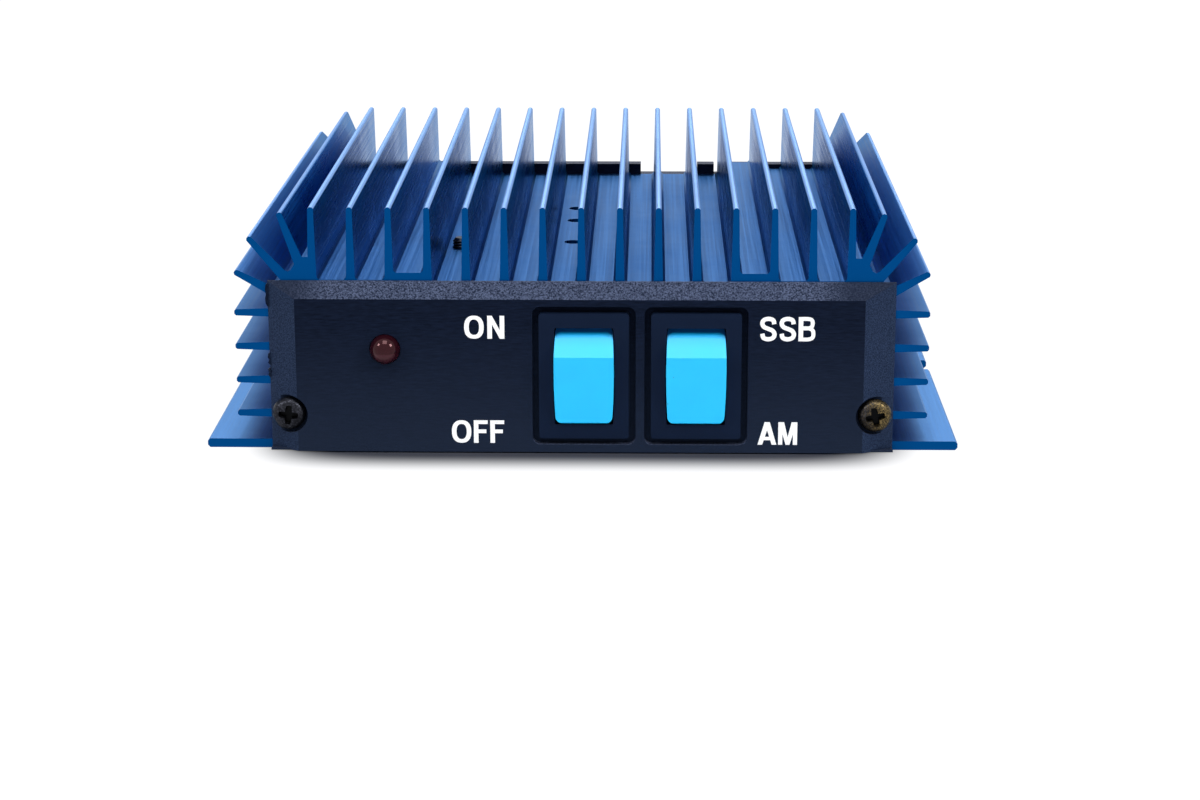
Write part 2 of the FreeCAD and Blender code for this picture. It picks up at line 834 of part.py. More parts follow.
def switch_housing(name, across, contacts):
    height = size.switch_height
    half_width = size.switch_body_width / 2
    half_tall = size.switch_body_height / 2
    seat = panel_face + size.recess_depth
    bezel = prism(f"{name}_bezel", "XZ",
                  rounded_rectangle(size.bezel_width, size.bezel_height, size.bezel_round, across, height),
                  panel_face - size.bezel_proud, seat)
    case = block(f"{name}_case", (across - half_width, across + half_width), (seat - 0.5, switch_back),
                 (height - half_tall, height + half_tall))
    snap_front = panel_back + 0.1
    snap_foot = half_tall - 0.4
    snaps = []
    for side in (-1, 1):
        ramp = [(snap_front, snap_foot), (snap_front + 3.5, snap_foot), (snap_front, half_tall + 0.6)]
        if side < 0:
            ramp = [(u, -v) for u, v in reversed(ramp)]
        ramp = [(u, v + height) for u, v in ramp]
        snaps.append(prism(f"{name}_snap_{side + 1}", "YZ", ramp, across - 3, across + 3))
    half_well = size.well_width / 2
    swing = rod(f"{name}_swing", "X", size.well_radius, (across - half_well, across + half_well),
                y=pivot_y, z=height)
    opening = prism(f"{name}_opening", "XZ",
                    bowed_outline(size.rocker_width / 2 + size.opening_gap,
                                  size.rocker_end_width / 2 + size.opening_gap,
                                  size.well_radius - 0.2, size.rocker_corner - 0.2),
                    panel_face - 1, pivot_y + 0.5)
    well = common(f"{name}_well", swing, place(opening, across, 0, height))
    half_chamber = size.well_radius - 0.25
    chamber = block(f"{name}_chamber", (across - half_well, across + half_well),
                    (pivot_y, pivot_y + size.well_floor), (height - half_chamber, height + half_chamber))
    # square windows in the side walls take the rocker's round pins
    half_window = size.pivot_radius + size.pivot_clearance
    window = block(f"{name}_window", (across - half_width - 1, across + half_width + 1),
                   (pivot_y - half_window, pivot_y + half_window),
                   (height - half_window, height + half_window))
    half_blade = size.blade_width / 2 + size.pivot_clearance
    half_thick = size.terminal_thickness / 2 + size.pivot_clearance
    slots = [
        block(f"{name}_slot_{index}", (across - half_blade, across + half_blade),
              (pivot_y + size.well_floor - 1, switch_back + 1),
              (height + up - half_thick, height + up + half_thick))
        for index, (up, _) in enumerate(terminal_places(contacts))
    ]
    return cut(f"{name}_housing_cut", fuse(f"{name}_housing_joined", bezel, case, *snaps),
               well, chamber, window, *slots)


def square_bar(name, width, span):
    """A square bar along Y about the rocker's own axis."""
    return block(name, (-width / 2, width / 2), span, (-width / 2, width / 2))


def rocker(name, across):
    """A two-faceted rocker about its own pivot, hollow behind, with a stem for the plunger."""
    radius = size.rocker_radius
    shoulder = size.rocker_shoulder
    wall = size.rocker_wall
    corner_up = square_root(radius * radius - shoulder * shoulder)
    skirt_up = square_root(radius * radius - size.rocker_skirt * size.rocker_skirt)
    half_width = size.rocker_width / 2
    profile = prism(f"{name}_profile", "YZ", [
        Arc(size.rocker_skirt, skirt_up, ZERO, ZERO),
        (-shoulder, corner_up),
        (-size.rocker_ridge, size.rocker_ridge_offset),
        Arc(-shoulder, -corner_up, ZERO, ZERO),
        (size.rocker_skirt, -skirt_up),
    ], -half_width, half_width)
    # its sides bow out a little and its corners are round
    half_end = size.rocker_end_width / 2
    front = prism(f"{name}_front", "XZ",
                  bowed_outline(half_width, half_end, corner_up + 0.15, size.rocker_corner),
                  -size.rocker_ridge - 1, size.rocker_skirt + 1)
    half_inside = half_end - wall
    stem_front = wall * 1.25 - size.rocker_ridge
    inside = prism(f"{name}_inside", "YZ", [
        (size.rocker_skirt + 1, corner_up - wall),
        (wall - shoulder, corner_up - wall),
        (stem_front, size.rocker_ridge_offset),
        (wall - shoulder, wall - corner_up),
        (size.rocker_skirt + 1, wall - corner_up),
    ], -half_inside, half_inside)
    shell = cut(f"{name}_shell", common(f"{name}_blank", profile, front), inside)
    pin_end = size.switch_body_width / 2 - 0.2
    ear = size.pivot_radius * 2
    parts = [square_bar(f"{name}_stem", size.stem_width, (stem_front, size.stem_end))]
    for side in (-1, 1):
        ear_span = sorted([half_inside * side, half_end * side], key=lambda end: end.value)
        pin_span = sorted([half_inside * side, pin_end * side], key=lambda end: end.value)
        parts.append(block(f"{name}_ear_{side + 1}", ear_span, (-ear / 2, ear), (-ear, ear)))
        parts.append(rod(f"{name}_pin_{side + 1}", "X", size.pivot_radius, pin_span))
    bore = square_bar(f"{name}_bore", size.plunger_width + size.sliding_gap,
                      (stem_front + wall, size.stem_end + 1))
    finished = cut(f"{name}_bored", fuse(f"{name}_joined", shell, *parts), bore)
    return about_x(finished, -size.rocker_tilt, across, pivot_y, size.switch_height)


def spring_foot():
    """Where the spring's foot stands inside the stem, behind the rocker's front wall."""
    return size.rocker_wall * 2.25 - size.rocker_ridge


def plunger(name, across):
    """A square plunger with a wedge-shaped tip that slides in the rocker's stem."""
    half_width = size.plunger_width / 2
    shoulder = size.plunger_end - half_width / 2
    profile = [
        (size.stem_end - 4, -half_width), (shoulder, -half_width), (size.plunger_end, -half_width / 2),
        (size.plunger_end, half_width / 2), (shoulder, half_width), (size.stem_end - 4, half_width),
    ]
    bar = prism(f"{name}_bar", "YZ", profile, -half_width, half_width)
    return about_x(bar, -size.rocker_tilt, across, pivot_y, size.switch_height)


def spring(name, across):
    """The plunger's spring, drawn as a square sleeve of its outer size."""
    span = (spring_foot() + 0.05, size.stem_end - 4 - 0.05)
    outside = square_bar(f"{name}_outside", size.plunger_width - 0.1, span)
    hollow = square_bar(f"{name}_hollow", size.plunger_width - 0.7, (span[0] - 1, span[1] + 1))
    return about_x(cut(f"{name}_sleeve", outside, hollow), -size.rocker_tilt, across, pivot_y,
                   size.switch_height)


def contact_blade(name, across):
    """A seesaw blade that rocks on a round crease at its middle."""
    half_blade = size.blade_width / 2
    outline = rectangle(size.blade_thickness, blade_end * 2)
    blade = prism(f"{name}_blade", "YZ", outline, -half_blade, half_blade)
    crease = rod(f"{name}_crease", "X", size.crease_radius, (-half_blade, half_blade))
    return about_x(fuse(f"{name}_creased", blade, crease), size.blade_tilt, across,
                   pivot_y + size.blade_seat, size.switch_height)


def terminals(name, across, contacts):
    half_blade = size.blade_width / 2
    half_thick = size.terminal_thickness / 2
    height = size.switch_height
    return group(f"{name}_terminal_group", [
        block(f"{name}_terminal_{index + 1}", (across - half_blade, across + half_blade),
              (pivot_y + front, pivot_y + size.terminal_end),
              (height + up - half_thick, height + up + half_thick))
        for index, (up, front) in enumerate(terminal_places(contacts))
    ])


for name, contacts in switch_contacts.items():
    across = switch_places[name]
    keep(f"{name}_switch_housing", switch_housing(name, across, contacts))
    keep(f"{name}_rocker", rocker(f"{name}_rocker", across))
    keep(f"{name}_plunger", plunger(f"{name}_plunger", across))
    keep(f"{name}_spring", spring(f"{name}_spring", across))
    keep(f"{name}_contact_blade", contact_blade(f"{name}_contact", across))
    keep(f"{name}_terminals", terminals(name, across, contacts))


# --------------------------------------------------------------------- indicator lamp and sockets

def indicator_lamp():
    """A round lamp turned about its axis, its domed front in two slopes."""
    radius = size.lamp_radius
    total = size.lamp_proud + size.panel_thickness + size.lamp_tail
    shoulder = total - radius
    halfway = radius * cosine(as_size(45))
    return lathe("lamp_body", [
        (ZERO, ZERO),
        (radius, ZERO),
        (radius, shoulder),
        (halfway, shoulder + halfway),
        (radius * sine(as_size(15)), total),
        (ZERO, total),
    ])


lamp_back = panel_back + size.lamp_tail
keep("indicator_lamp", turned_along(indicator_lamp(), "Y", size.lamp_left, lamp_back, size.lamp_height, True))


shoulder_front = rear_face + size.shoulder_thickness
barrel_end = shoulder_front + size.barrel_length
spigot_end = half_length - size.nut_thickness - 0.5


def socket_shell(name, across):
    """A threaded barrel with a six-sided shoulder; its inner end takes the nut."""
    height = size.socket_height
    shoulder = prism(f"{name}_shoulder", "XZ", hexagon(size.shoulder_across, across, height),
                     rear_face, shoulder_front)
    barrel = rod(f"{name}_barrel", "Y", size.barrel_radius, (spigot_end, barrel_end), across, z=height)
    bore = rod(f"{name}_barrel_bore", "Y", size.barrel_bore, (spigot_end - 1, barrel_end + 1),
               across, z=height)
    return cut(f"{name}_shell", fuse(f"{name}_shell_blank", shoulder, barrel), bore)


def socket_nut(name, across):
    holes = [(across, size.socket_height, size.barrel_radius + size.thread_clearance)]
    outline = hexagon(size.nut_across, across, size.socket_height)
    return prism(f"{name}_nut", "XZ", outline, half_length - size.nut_thickness, half_length, holes)


def socket_insulator(name, across):
    gap = size.thread_clearance
    span = (spigot_end, barrel_end - size.insulator_recess)
    height = size.socket_height
    disc = rod(f"{name}_insulator", "Y", size.barrel_bore - gap, span, across, z=height)
    bore = rod(f"{name}_insulator_bore", "Y", size.contact_radius + gap, (span[0] - 1, span[1] + 1),
               across, z=height)
    return cut(f"{name}_insulator_bored", disc, bore)


def socket_contact(name, across):
    """A sleeve for the plug's centre pin, with a flat solder tab behind."""
    height = size.socket_height
    end = barrel_end - size.contact_recess
    sleeve = rod(f"{name}_sleeve", "Y", size.contact_radius, (spigot_end, end), across, z=height)
    bore = rod(f"{name}_bore", "Y", size.contact_bore, (end - size.contact_depth, end + 1), across, z=height)
    tab = block(f"{name}_tab", (across - 1.5, across + 1.5), (spigot_end - size.solder_tab, spigot_end + 1),
                (height - 0.4, height + 0.4))
    return fuse(f"{name}_contact_joined", cut(f"{name}_contact_bored", sleeve, bore), tab)


for name, across in socket_places.items():
    keep(f"{name}_socket_shell", socket_shell(name, across))
    keep(f"{name}_socket_insulator", socket_insulator(name, across))
    keep(f"{name}_socket_contact", socket_contact(name, across))
keep("socket_nuts", group("nut_group", [socket_nut(name, across) for name, across in socket_places.items()]))


def lead_bush():
    """A rubber bush with an outer rim, pressed into the rear panel's middle hole."""
    rim = size.bush_radius + 2
    body = size.panel_thickness + 1
    return lathe("bush_body", [
        (size.cable_bore, -body),
        (size.bush_radius, -body),
        (size.bush_radius, ZERO),
        (rim, ZERO),
        (rim, size.bush_rim),
        (size.cable_bore, size.bush_rim),
    ])


keep("lead_bush", turned_along(lead_bush(), "Y", ZERO, rear_face, size.socket_height))


# ------------------------------------------------------------------------------ circuit board set

board_under = size.rail_top
board_top = board_under + size.board_thickness
half_board = inner_wall - 0.2
board_front = size.board_front_gap - half_length
board_back = half_length - size.board_back_gap


def circuit_board():
    """Rests on the extrusion's two screw rails."""
    board = block("board_blank", (-half_board, half_board), (board_front, board_back),
                  (board_under, board_top))
    span = (board_under - 1, board_top + 1)
    tools = [rod("board_hole", "Z", size.hole_radius, span, *pillar_place)]
    access = size.head_radius + 0.4
    for index, (x, y) in enumerate(transistor_places):
        tools.append(block(f"board_access_{index}", (x - access, x + access), (y - access, y + access), span))
        leg = x + size.hole_to_legs
        tools.append(block(f"board_slot_{index}", (leg - 0.6, leg + 0.6), (y - 3.3, y + 3.3), span))
    return cut("board_drilled", board, *tools)


def board_pillar():
    x, y = pillar_place
    return prism("pillar", "XY", hexagon(size.pillar_across, x, y), board_top, deck_under, [(x, y, tapped)])


seen_length = size.deck_low + size.seen_screw_proud - board_under
tab_underside = deck_under - size.pad_thickness - size.tab_thickness
keep("circuit_board", circuit_board())
keep("board_pillar", board_pillar())
long_head = (board_under - size.head_height, board_under)
long_thread = (board_under - 0.5, board_under + seen_length)
keep("board_screw", fuse(
    "long_screw",
    rod("long_screw_head", "Z", size.head_radius, long_head, *pillar_place),
    rod("long_screw_thread", "Z", size.thread_radius, long_thread, *pillar_place),
))
keep("transistor_screws", screw_set("tab_screws", [
    (x, y, tab_underside, "Z", True) for x, y in transistor_places
], size.tab_thickness + size.pad_thickness + size.deck_thickness - 1.4))


def transistor_parts():
    """Power transistors on their backs under the deck: cases, tabs with leads, and pads."""
    cases, frames, pads = [], [], []
    tab_top = deck_under - size.pad_thickness
    half_wide = size.transistor_width / 2
    for index, (x, y) in enumerate(transistor_places):
        tag = f"transistor_{index + 1}"
        case_end = x - size.hole_to_tab_end + size.transistor_length
        leg = x + size.hole_to_legs
        case = block(f"{tag}_case", (x + size.hole_to_case, case_end), (y - half_wide, y + half_wide),
                     (tab_top - size.case_thickness, tab_top))
        tab = block(f"{tag}_tab", (x - size.hole_to_tab_end, case_end - 0.6),
                    (y - half_wide + 0.6, y + half_wide - 0.6), (tab_top - size.tab_thickness, tab_top))
        room = size.hole_radius
        hole = block(f"{tag}_hole", (x - room, x + room), (y - room, y + room), (tab_top - 3, tab_top + 1))
        lead_top = tab_top - size.tab_thickness - 1.4
        stub = block(f"{tag}_stub", (case_end - 2, case_end - 1), (y - 2.9, y + 2.9),
                     (lead_top - 0.5, tab_top))
        leads = []
        for turn in (-1, 0, 1):
            side = (y + 2.54 * turn - 0.4, y + 2.54 * turn + 0.4)
            leads.append(block(f"{tag}_lead_{turn + 1}", (case_end - 2, leg + 0.25), side,
                               (lead_top - 0.5, lead_top)))
            leads.append(block(f"{tag}_leg_{turn + 1}", (leg - 0.25, leg + 0.25), side,
                               (board_under - 1.5, lead_top)))
        frame = cut(f"{tag}_frame", fuse(f"{tag}_frame_joined", tab, stub, *leads), hole)
        cases.append(cut(f"{tag}_case_cut", case, frame))
        frames.append(frame)
        pad = block(f"{tag}_pad", (x - size.hole_to_case, case_end + 0.5),
                    (y - half_wide - 0.3, y + half_wide + 0.3), (tab_top, deck_under))
        pad_hole = block(f"{tag}_pad_hole", (x - room, x + room), (y - room, y + room),
                         (tab_top - 1, deck_under + 1))
        pads.append(cut(f"{tag}_pad_cut", pad, pad_hole))
    return group("cases", cases), group("frames", frames), group("pads", pads)


case_group, frame_group, pad_group = transistor_parts()
keep("transistor_cases", case_group)
keep("transistor_frames", frame_group)
keep("transistor_pads", pad_group)


def on_board(name, x, y, width, depth, tall):
    """A block-shaped component that stands on the board, centred at (x, y)."""
    return block(name, (as_size(x - width / 2), as_size(x + width / 2)),
                 (as_size(y - depth / 2), as_size(y + depth / 2)), (board_top, board_top + tall))


def transformer(index, x, y):
    """A two-window ferrite core on the board, with one heavy turn through its windows."""
    window_gap = 3.3
    middle = board_top + 4
    core = on_board(f"core_blank_{index}", x, y, 24, 13, 8)
    windows = [
        block(f"core_window_{index}_{side + 1}", (as_size(x - 13), as_size(x + 13)),
              (as_size(y + window_gap * side - 1.1), as_size(y + window_gap * side + 1.1)),
              (middle - 1.5, middle + 1.5))
        for side in (-1, 1)
    ]
    loop = block(f"winding_outside_{index}", (as_size(x - 15), as_size(x + 15)),
                 (as_size(y - window_gap - 0.8), as_size(y + window_gap + 0.8)), (middle - 0.8, middle + 0.8))
    inner = block(f"winding_inside_{index}", (as_size(x - 13.4), as_size(x + 13.4)),
                  (as_size(y - window_gap + 0.8), as_size(y + window_gap - 0.8)), (middle - 2, middle + 2))
    return cut(f"core_{index}", core, *windows), cut(f"winding_{index}", loop, inner)


cores, windings = zip(transformer(1, 0, board_front + 10), transformer(2, 2, board_back - 7))
keep("transformer_cores", group("core_group", cores))
keep("transformer_windings", group("winding_group", windings))
relay_left = half_board - 18.7
resistor_left = half_board - 14.7
keep("changeover_relays", group("relay_group", [
    on_board(f"relay_{side + 2}", relay_left * side, board_back - 18, 12, 20, 10) for side in (-1, 1)
]))
keep("power_resistors", group("resistor_group", [
    on_board(f"resistor_{side + 2}", resistor_left * side, board_front + 16, 6, 14, 6) for side in (-1, 1)
]))
keep("capacitor", rod("capacitor_can", "Z", 4, (board_top, board_top + 11), as_size(-15), board_front + 30))


def strip(name, x, height, start, turn, end_height):
    """A flat copper strip that runs back from a place and then turns up or down to the board."""
    half_wide = 0.7
    half_thick = 0.25
    run = sorted([start, turn + half_thick], key=lambda place: place.value)
    if end_height.value > height.value:
        rise = (height - half_thick, end_height)
    else:
        rise = (end_height, height + half_thick)
    across = (x - half_wide, x + half_wide)
    level = block(f"{name}_run", across, run, (height - half_thick, height + half_thick))
    upright = block(f"{name}_rise", across, (turn - half_thick, turn + half_thick), rise)
    return fuse(name, level, upright)


def switch_links():
    """Strips from the switch terminals to the board, each with one bend."""
    links = []
    for name, contacts in switch_contacts.items():
        for index, (up, _) in enumerate(terminal_places(contacts)):
            height = size.switch_height + up
            end_height = board_top if height.value > board_top.value else board_under
            turn = board_front + 1.5 + 2 * index
            links.append(strip(f"{name}_link_{index + 1}", switch_places[name], height,
                               pivot_y + size.terminal_end, turn, end_height))
    return group("switch_link_group", links)


def socket_links():
    return group("socket_link_group", [
        strip(f"{name}_strip", across, size.socket_height, spigot_end - size.solder_tab,
              board_back - 1.5, board_top)
        for name, across in socket_places.items()
    ])


def lamp_leads():
    """Square leads, one longer than the other, that run back and down to the board."""
    leads = []
    for side in (-1, 1):
        x = size.lamp_left + 1.27 * side
        turn = board_front + 2
        leads.append(fuse(f"lamp_lead_{side + 2}",
                          block(f"lamp_run_{side + 2}", (x - 0.25, x + 0.25), (lamp_back, turn + 0.25),
                                (size.lamp_height - 0.25, size.lamp_height + 0.25)),
                          block(f"lamp_rise_{side + 2}", (x - 0.25, x + 0.25), (turn - 0.25, turn + 0.25),
                                (board_top, size.lamp_height + 0.25))))
    return group("lamp_lead_group", leads)


keep("switch_links", switch_links())
keep("socket_links", socket_links())
keep("lamp_leads", lamp_leads())


# ----------------------------------------------------------------------------- checks and export

doc.recompute()
for thing in doc.Objects:
    broken = [state for state in thing.State if state in ("Invalid", "Error")]
    if broken:
        raise RuntimeError(f"{thing.Name} did not build: {thing.State}")
os.makedirs("parts", exist_ok=True)
for node, thing in pieces.items():
    shape = thing.Shape
    if shape.isNull() or not shape.isValid() or not shape.Solids:
        raise RuntimeError(f"{node} is not a valid solid")
    shape.exportStep(f"parts/{node}.step")
    print(node, len(shape.Solids), round(shape.Volume, 2))
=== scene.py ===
import json
import math

import bmesh
import bpy
from mathutils import Euler, Matrix, Vector


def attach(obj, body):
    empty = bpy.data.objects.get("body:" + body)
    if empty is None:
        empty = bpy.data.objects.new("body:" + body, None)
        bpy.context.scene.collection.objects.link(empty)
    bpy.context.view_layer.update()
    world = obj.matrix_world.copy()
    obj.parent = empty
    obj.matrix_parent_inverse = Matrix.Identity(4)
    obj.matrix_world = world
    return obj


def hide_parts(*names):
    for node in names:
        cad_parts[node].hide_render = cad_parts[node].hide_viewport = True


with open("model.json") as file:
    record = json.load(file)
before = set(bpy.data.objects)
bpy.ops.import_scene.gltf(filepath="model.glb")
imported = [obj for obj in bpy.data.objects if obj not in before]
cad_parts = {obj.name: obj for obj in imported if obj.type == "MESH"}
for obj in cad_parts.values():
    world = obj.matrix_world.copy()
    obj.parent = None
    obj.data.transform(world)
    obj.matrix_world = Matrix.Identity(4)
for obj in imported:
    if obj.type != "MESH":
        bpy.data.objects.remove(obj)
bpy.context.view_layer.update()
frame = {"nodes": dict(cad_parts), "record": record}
MM = 0.001

# Places in millimetres that several pieces share with the CAD model.
PANEL_FACE = -52.8
REAR_FACE = 52.8
SWITCHES = {"power": 0.45, "mode": 18.8}
SWITCH_HEIGHT = 13.2
SOCKETS = {"antenna": 30.0, "radio": -30.0}
SOCKET_HEIGHT = 13.5
PANEL_SCREWS = {"left": -48.25, "right": 48.25}
PANEL_SCREW_HEIGHT = 6.42
LAMP = (-32.1, 17.6)
DECK_SCREW = (-21.8, -18.8)
FIN_TOP = 40.65
# The tips of the three fanned fins at the right corner; those at the left mirror them.
FAN_TIPS = ((49.25, 39.72), (54.43, 35.63), (56.77, 29.91))

# Vertices closer than this, in millimetres, are made one.
WELD = 1e-4


# ------------------------------------------------------------------------------- colours and nodes

def hex_colour(code):
    """sRGB hex to the linear colour that the shader sockets take."""
    channels = [int(code[i:i + 2], 16) / 255 for i in (0, 2, 4)]
    return (*(c / 12.92 if c <= 0.04045 else ((c + 0.055) / 1.055) ** 2.4 for c in channels), 1.0)


def add(tree, kind, inputs=None, **settings):
    """Adds one node with its settings; an input takes a value or another node's output. A Mix node takes
    its factor at 0, two numbers at 2 and 3 or two colours at 6 and 7, and gives a colour at output 2."""
    made = tree.nodes.new(f"ShaderNode{kind}")
    for name, value in settings.items():
        setattr(made, name, value)
    for key, value in (inputs or {}).items():
        if isinstance(value, bpy.types.NodeSocket):
            tree.links.new(value, made.inputs[key])
        else:
            made.inputs[key].default_value = value
    return made


def finish_called(name, inputs, stretch=(1, 1, 1)):
    """A new material: its node tree, its shader with the given constants, and millimetre coordinates."""
    material = bpy.data.materials.new(name)
    material.use_nodes = True
    tree = material.node_tree
    shader = tree.nodes["Principled BSDF"]
    for key, value in inputs.items():
        shader.inputs[key].default_value = value
    place = add(tree, "TexCoord")
    millimetres = add(tree, "Mapping", {"Vector": place.outputs["Object"],
                                        "Scale": tuple(1000 * share for share in stretch)})
    return material, tree, shader, millimetres.outputs["Vector"]


def link(tree, source, shader, name):
    """Leads one node's output to the shader's input of that name."""
    tree.links.new(source, shader.inputs[name])


# ---------------------------------------------------------------------------------------- finishes

def anodised_aluminium():
    """Extruded aluminium under a blue-dyed oxide layer: a deep blue metal drawn out in fine die lines.
    Faces that look up are painted paler and greyer, as if lit from above, and are duller; the fins' flanks
    are painted a deeper and clearer blue as shade, the rounded crests are painted pale blue as highlights and
    the sawn ends are plain and matt."""
    material, tree, shader, along = finish_called("blue_anodised_aluminium", {
        "Metallic": 1.0, "Specular Tint": hex_colour("CADEF4"),
    }, stretch=(1, 0.004, 1))
    coords = add(tree, "TexCoord")
    # die lines: 0.3 mm across, coarser than real ones so that they show, and very long, over slow bands
    # 1.5 mm across
    lines = add(tree, "TexNoise", {"Vector": along, "Scale": 3.4, "Detail": 5.0, "Roughness": 0.7})
    bands = add(tree, "TexNoise", {"Vector": along, "Scale": 0.7, "Detail": 2.0})
    drawn = add(tree, "MapRange", {"Value": lines.outputs["Fac"], "From Min": 0.4, "From Max": 0.6})
    geometry = add(tree, "NewGeometry")
    facing = add(tree, "SeparateXYZ", {0: geometry.outputs["Normal"]})
    sawn = add(tree, "Math", {0: facing.outputs["Y"]}, operation="ABSOLUTE")
    sawn = add(tree, "MapRange", {"Value": sawn.outputs[0], "From Min": 0.8, "From Max": 0.95})
    upward = add(tree, "MapRange", {"Value": facing.outputs["Z"], "From Min": 0.3, "From Max": 0.95})
    # painted highlight on the crests: the upright fins' by height, the fanned fins' by the place of each tip
    place = add(tree, "SeparateXYZ", {0: coords.outputs["Object"]})
    crest = add(tree, "MapRange", {"Value": place.outputs["Z"], "From Min": (FIN_TOP - 0.35) * MM,
                                   "From Max": (FIN_TOP - 0.15) * MM})
    sideways = add(tree, "Math", {0: place.outputs["X"]}, operation="ABSOLUTE")
    folded = add(tree, "CombineXYZ", {"X": sideways.outputs[0], "Z": place.outputs["Z"]})
    for tip_x, tip_z in FAN_TIPS:
        away = add(tree, "VectorMath", {0: folded.outputs[0], 1: (tip_x * MM, 0, tip_z * MM)},
                   operation="DISTANCE")
        near = add(tree, "MapRange", {"Value": away.outputs["Value"], "From Min": 0.22 * MM,
                                      "From Max": 0.5 * MM, "To Min": 1.0, "To Max": 0.0})
        crest = add(tree, "Math", {0: crest.outputs[0], 1: near.outputs[0]}, operation="MAXIMUM")
    handled = add(tree, "TexNoise", {"Vector": coords.outputs["Object"], "Scale": 45.0, "Detail": 4.0,
                                     "Roughness": 0.7})
    # painted light: the flanks take a deeper blue as shade and the faces that look up a paler level tone as
    # if lit from above
    flank_painted_shade = add(tree, "Mix", {0: drawn.outputs[0], 6: hex_colour("04609C"), 7: hex_colour("0874BA")},
                data_type="RGBA")
    level = add(tree, "Mix", {0: drawn.outputs[0], 6: hex_colour("1A4C86"), 7: hex_colour("426CA2")},
                data_type="RGBA")
    # painted reflection: paler towards the outer edges of the feet and the side fins, darker near the body
    outer = add(tree, "MapRange", {"Value": sideways.outputs[0], "From Min": 52 * MM, "From Max": 59 * MM,
                                   "To Min": 0.0, "To Max": 0.6})
    level = add(tree, "Mix", {0: outer.outputs[0], 6: level.outputs[2], 7: hex_colour("6CA0DC")},
                data_type="RGBA")
    tone = add(tree, "Mix", {0: upward.outputs[0], 6: flank_painted_shade.outputs[2], 7: level.outputs[2]},
               data_type="RGBA")
    # the crests are painted pale blue as highlights
    tone = add(tree, "Mix", {0: crest.outputs[0], 6: tone.outputs[2], 7: hex_colour("8CB0E6")},
               data_type="RGBA")
    tone = add(tree, "Mix", {0: sawn.outputs[0], 6: tone.outputs[2], 7: hex_colour("024681")},
               data_type="RGBA")
    link(tree, tone.outputs[2], shader, "Base Color")
    # the flanks are smoother than the floors of the channels
    scored = add(tree, "MapRange", {"Value": lines.outputs["Fac"], "From Min": 0.35, "From Max": 0.65,
                                    "To Min": 0.0, "To Max": 0.12})
    dull = add(tree, "MapRange", {"Value": upward.outputs[0], "To Min": 0.2, "To Max": 0.3})
    dull = add(tree, "Math", {0: scored.outputs[0], 1: dull.outputs[0]}, operation="ADD")
    greasy = add(tree, "MapRange", {"Value": handled.outputs["Fac"], "From Min": 0.4, "From Max": 0.7,
                                    "To Min": 0.0, "To Max": 0.08})
    rough = add(tree, "Math", {0: dull.outputs[0], 1: greasy.outputs[0]}, operation="ADD")
    rough = add(tree, "Mix", {0: sawn.outputs[0], 2: rough.outputs[0], 3: 0.55}, data_type="FLOAT")
    link(tree, rough.outputs[0], shader, "Roughness")
    height = add(tree, "Math", {0: lines.outputs["Fac"], 1: bands.outputs["Fac"]}, operation="ADD")
    ridges = add(tree, "Bump", {"Height": height.outputs[0], "Strength": 0.3, "Distance": 0.03 * MM})
    link(tree, ridges.outputs[0], shader, "Normal")
    return material


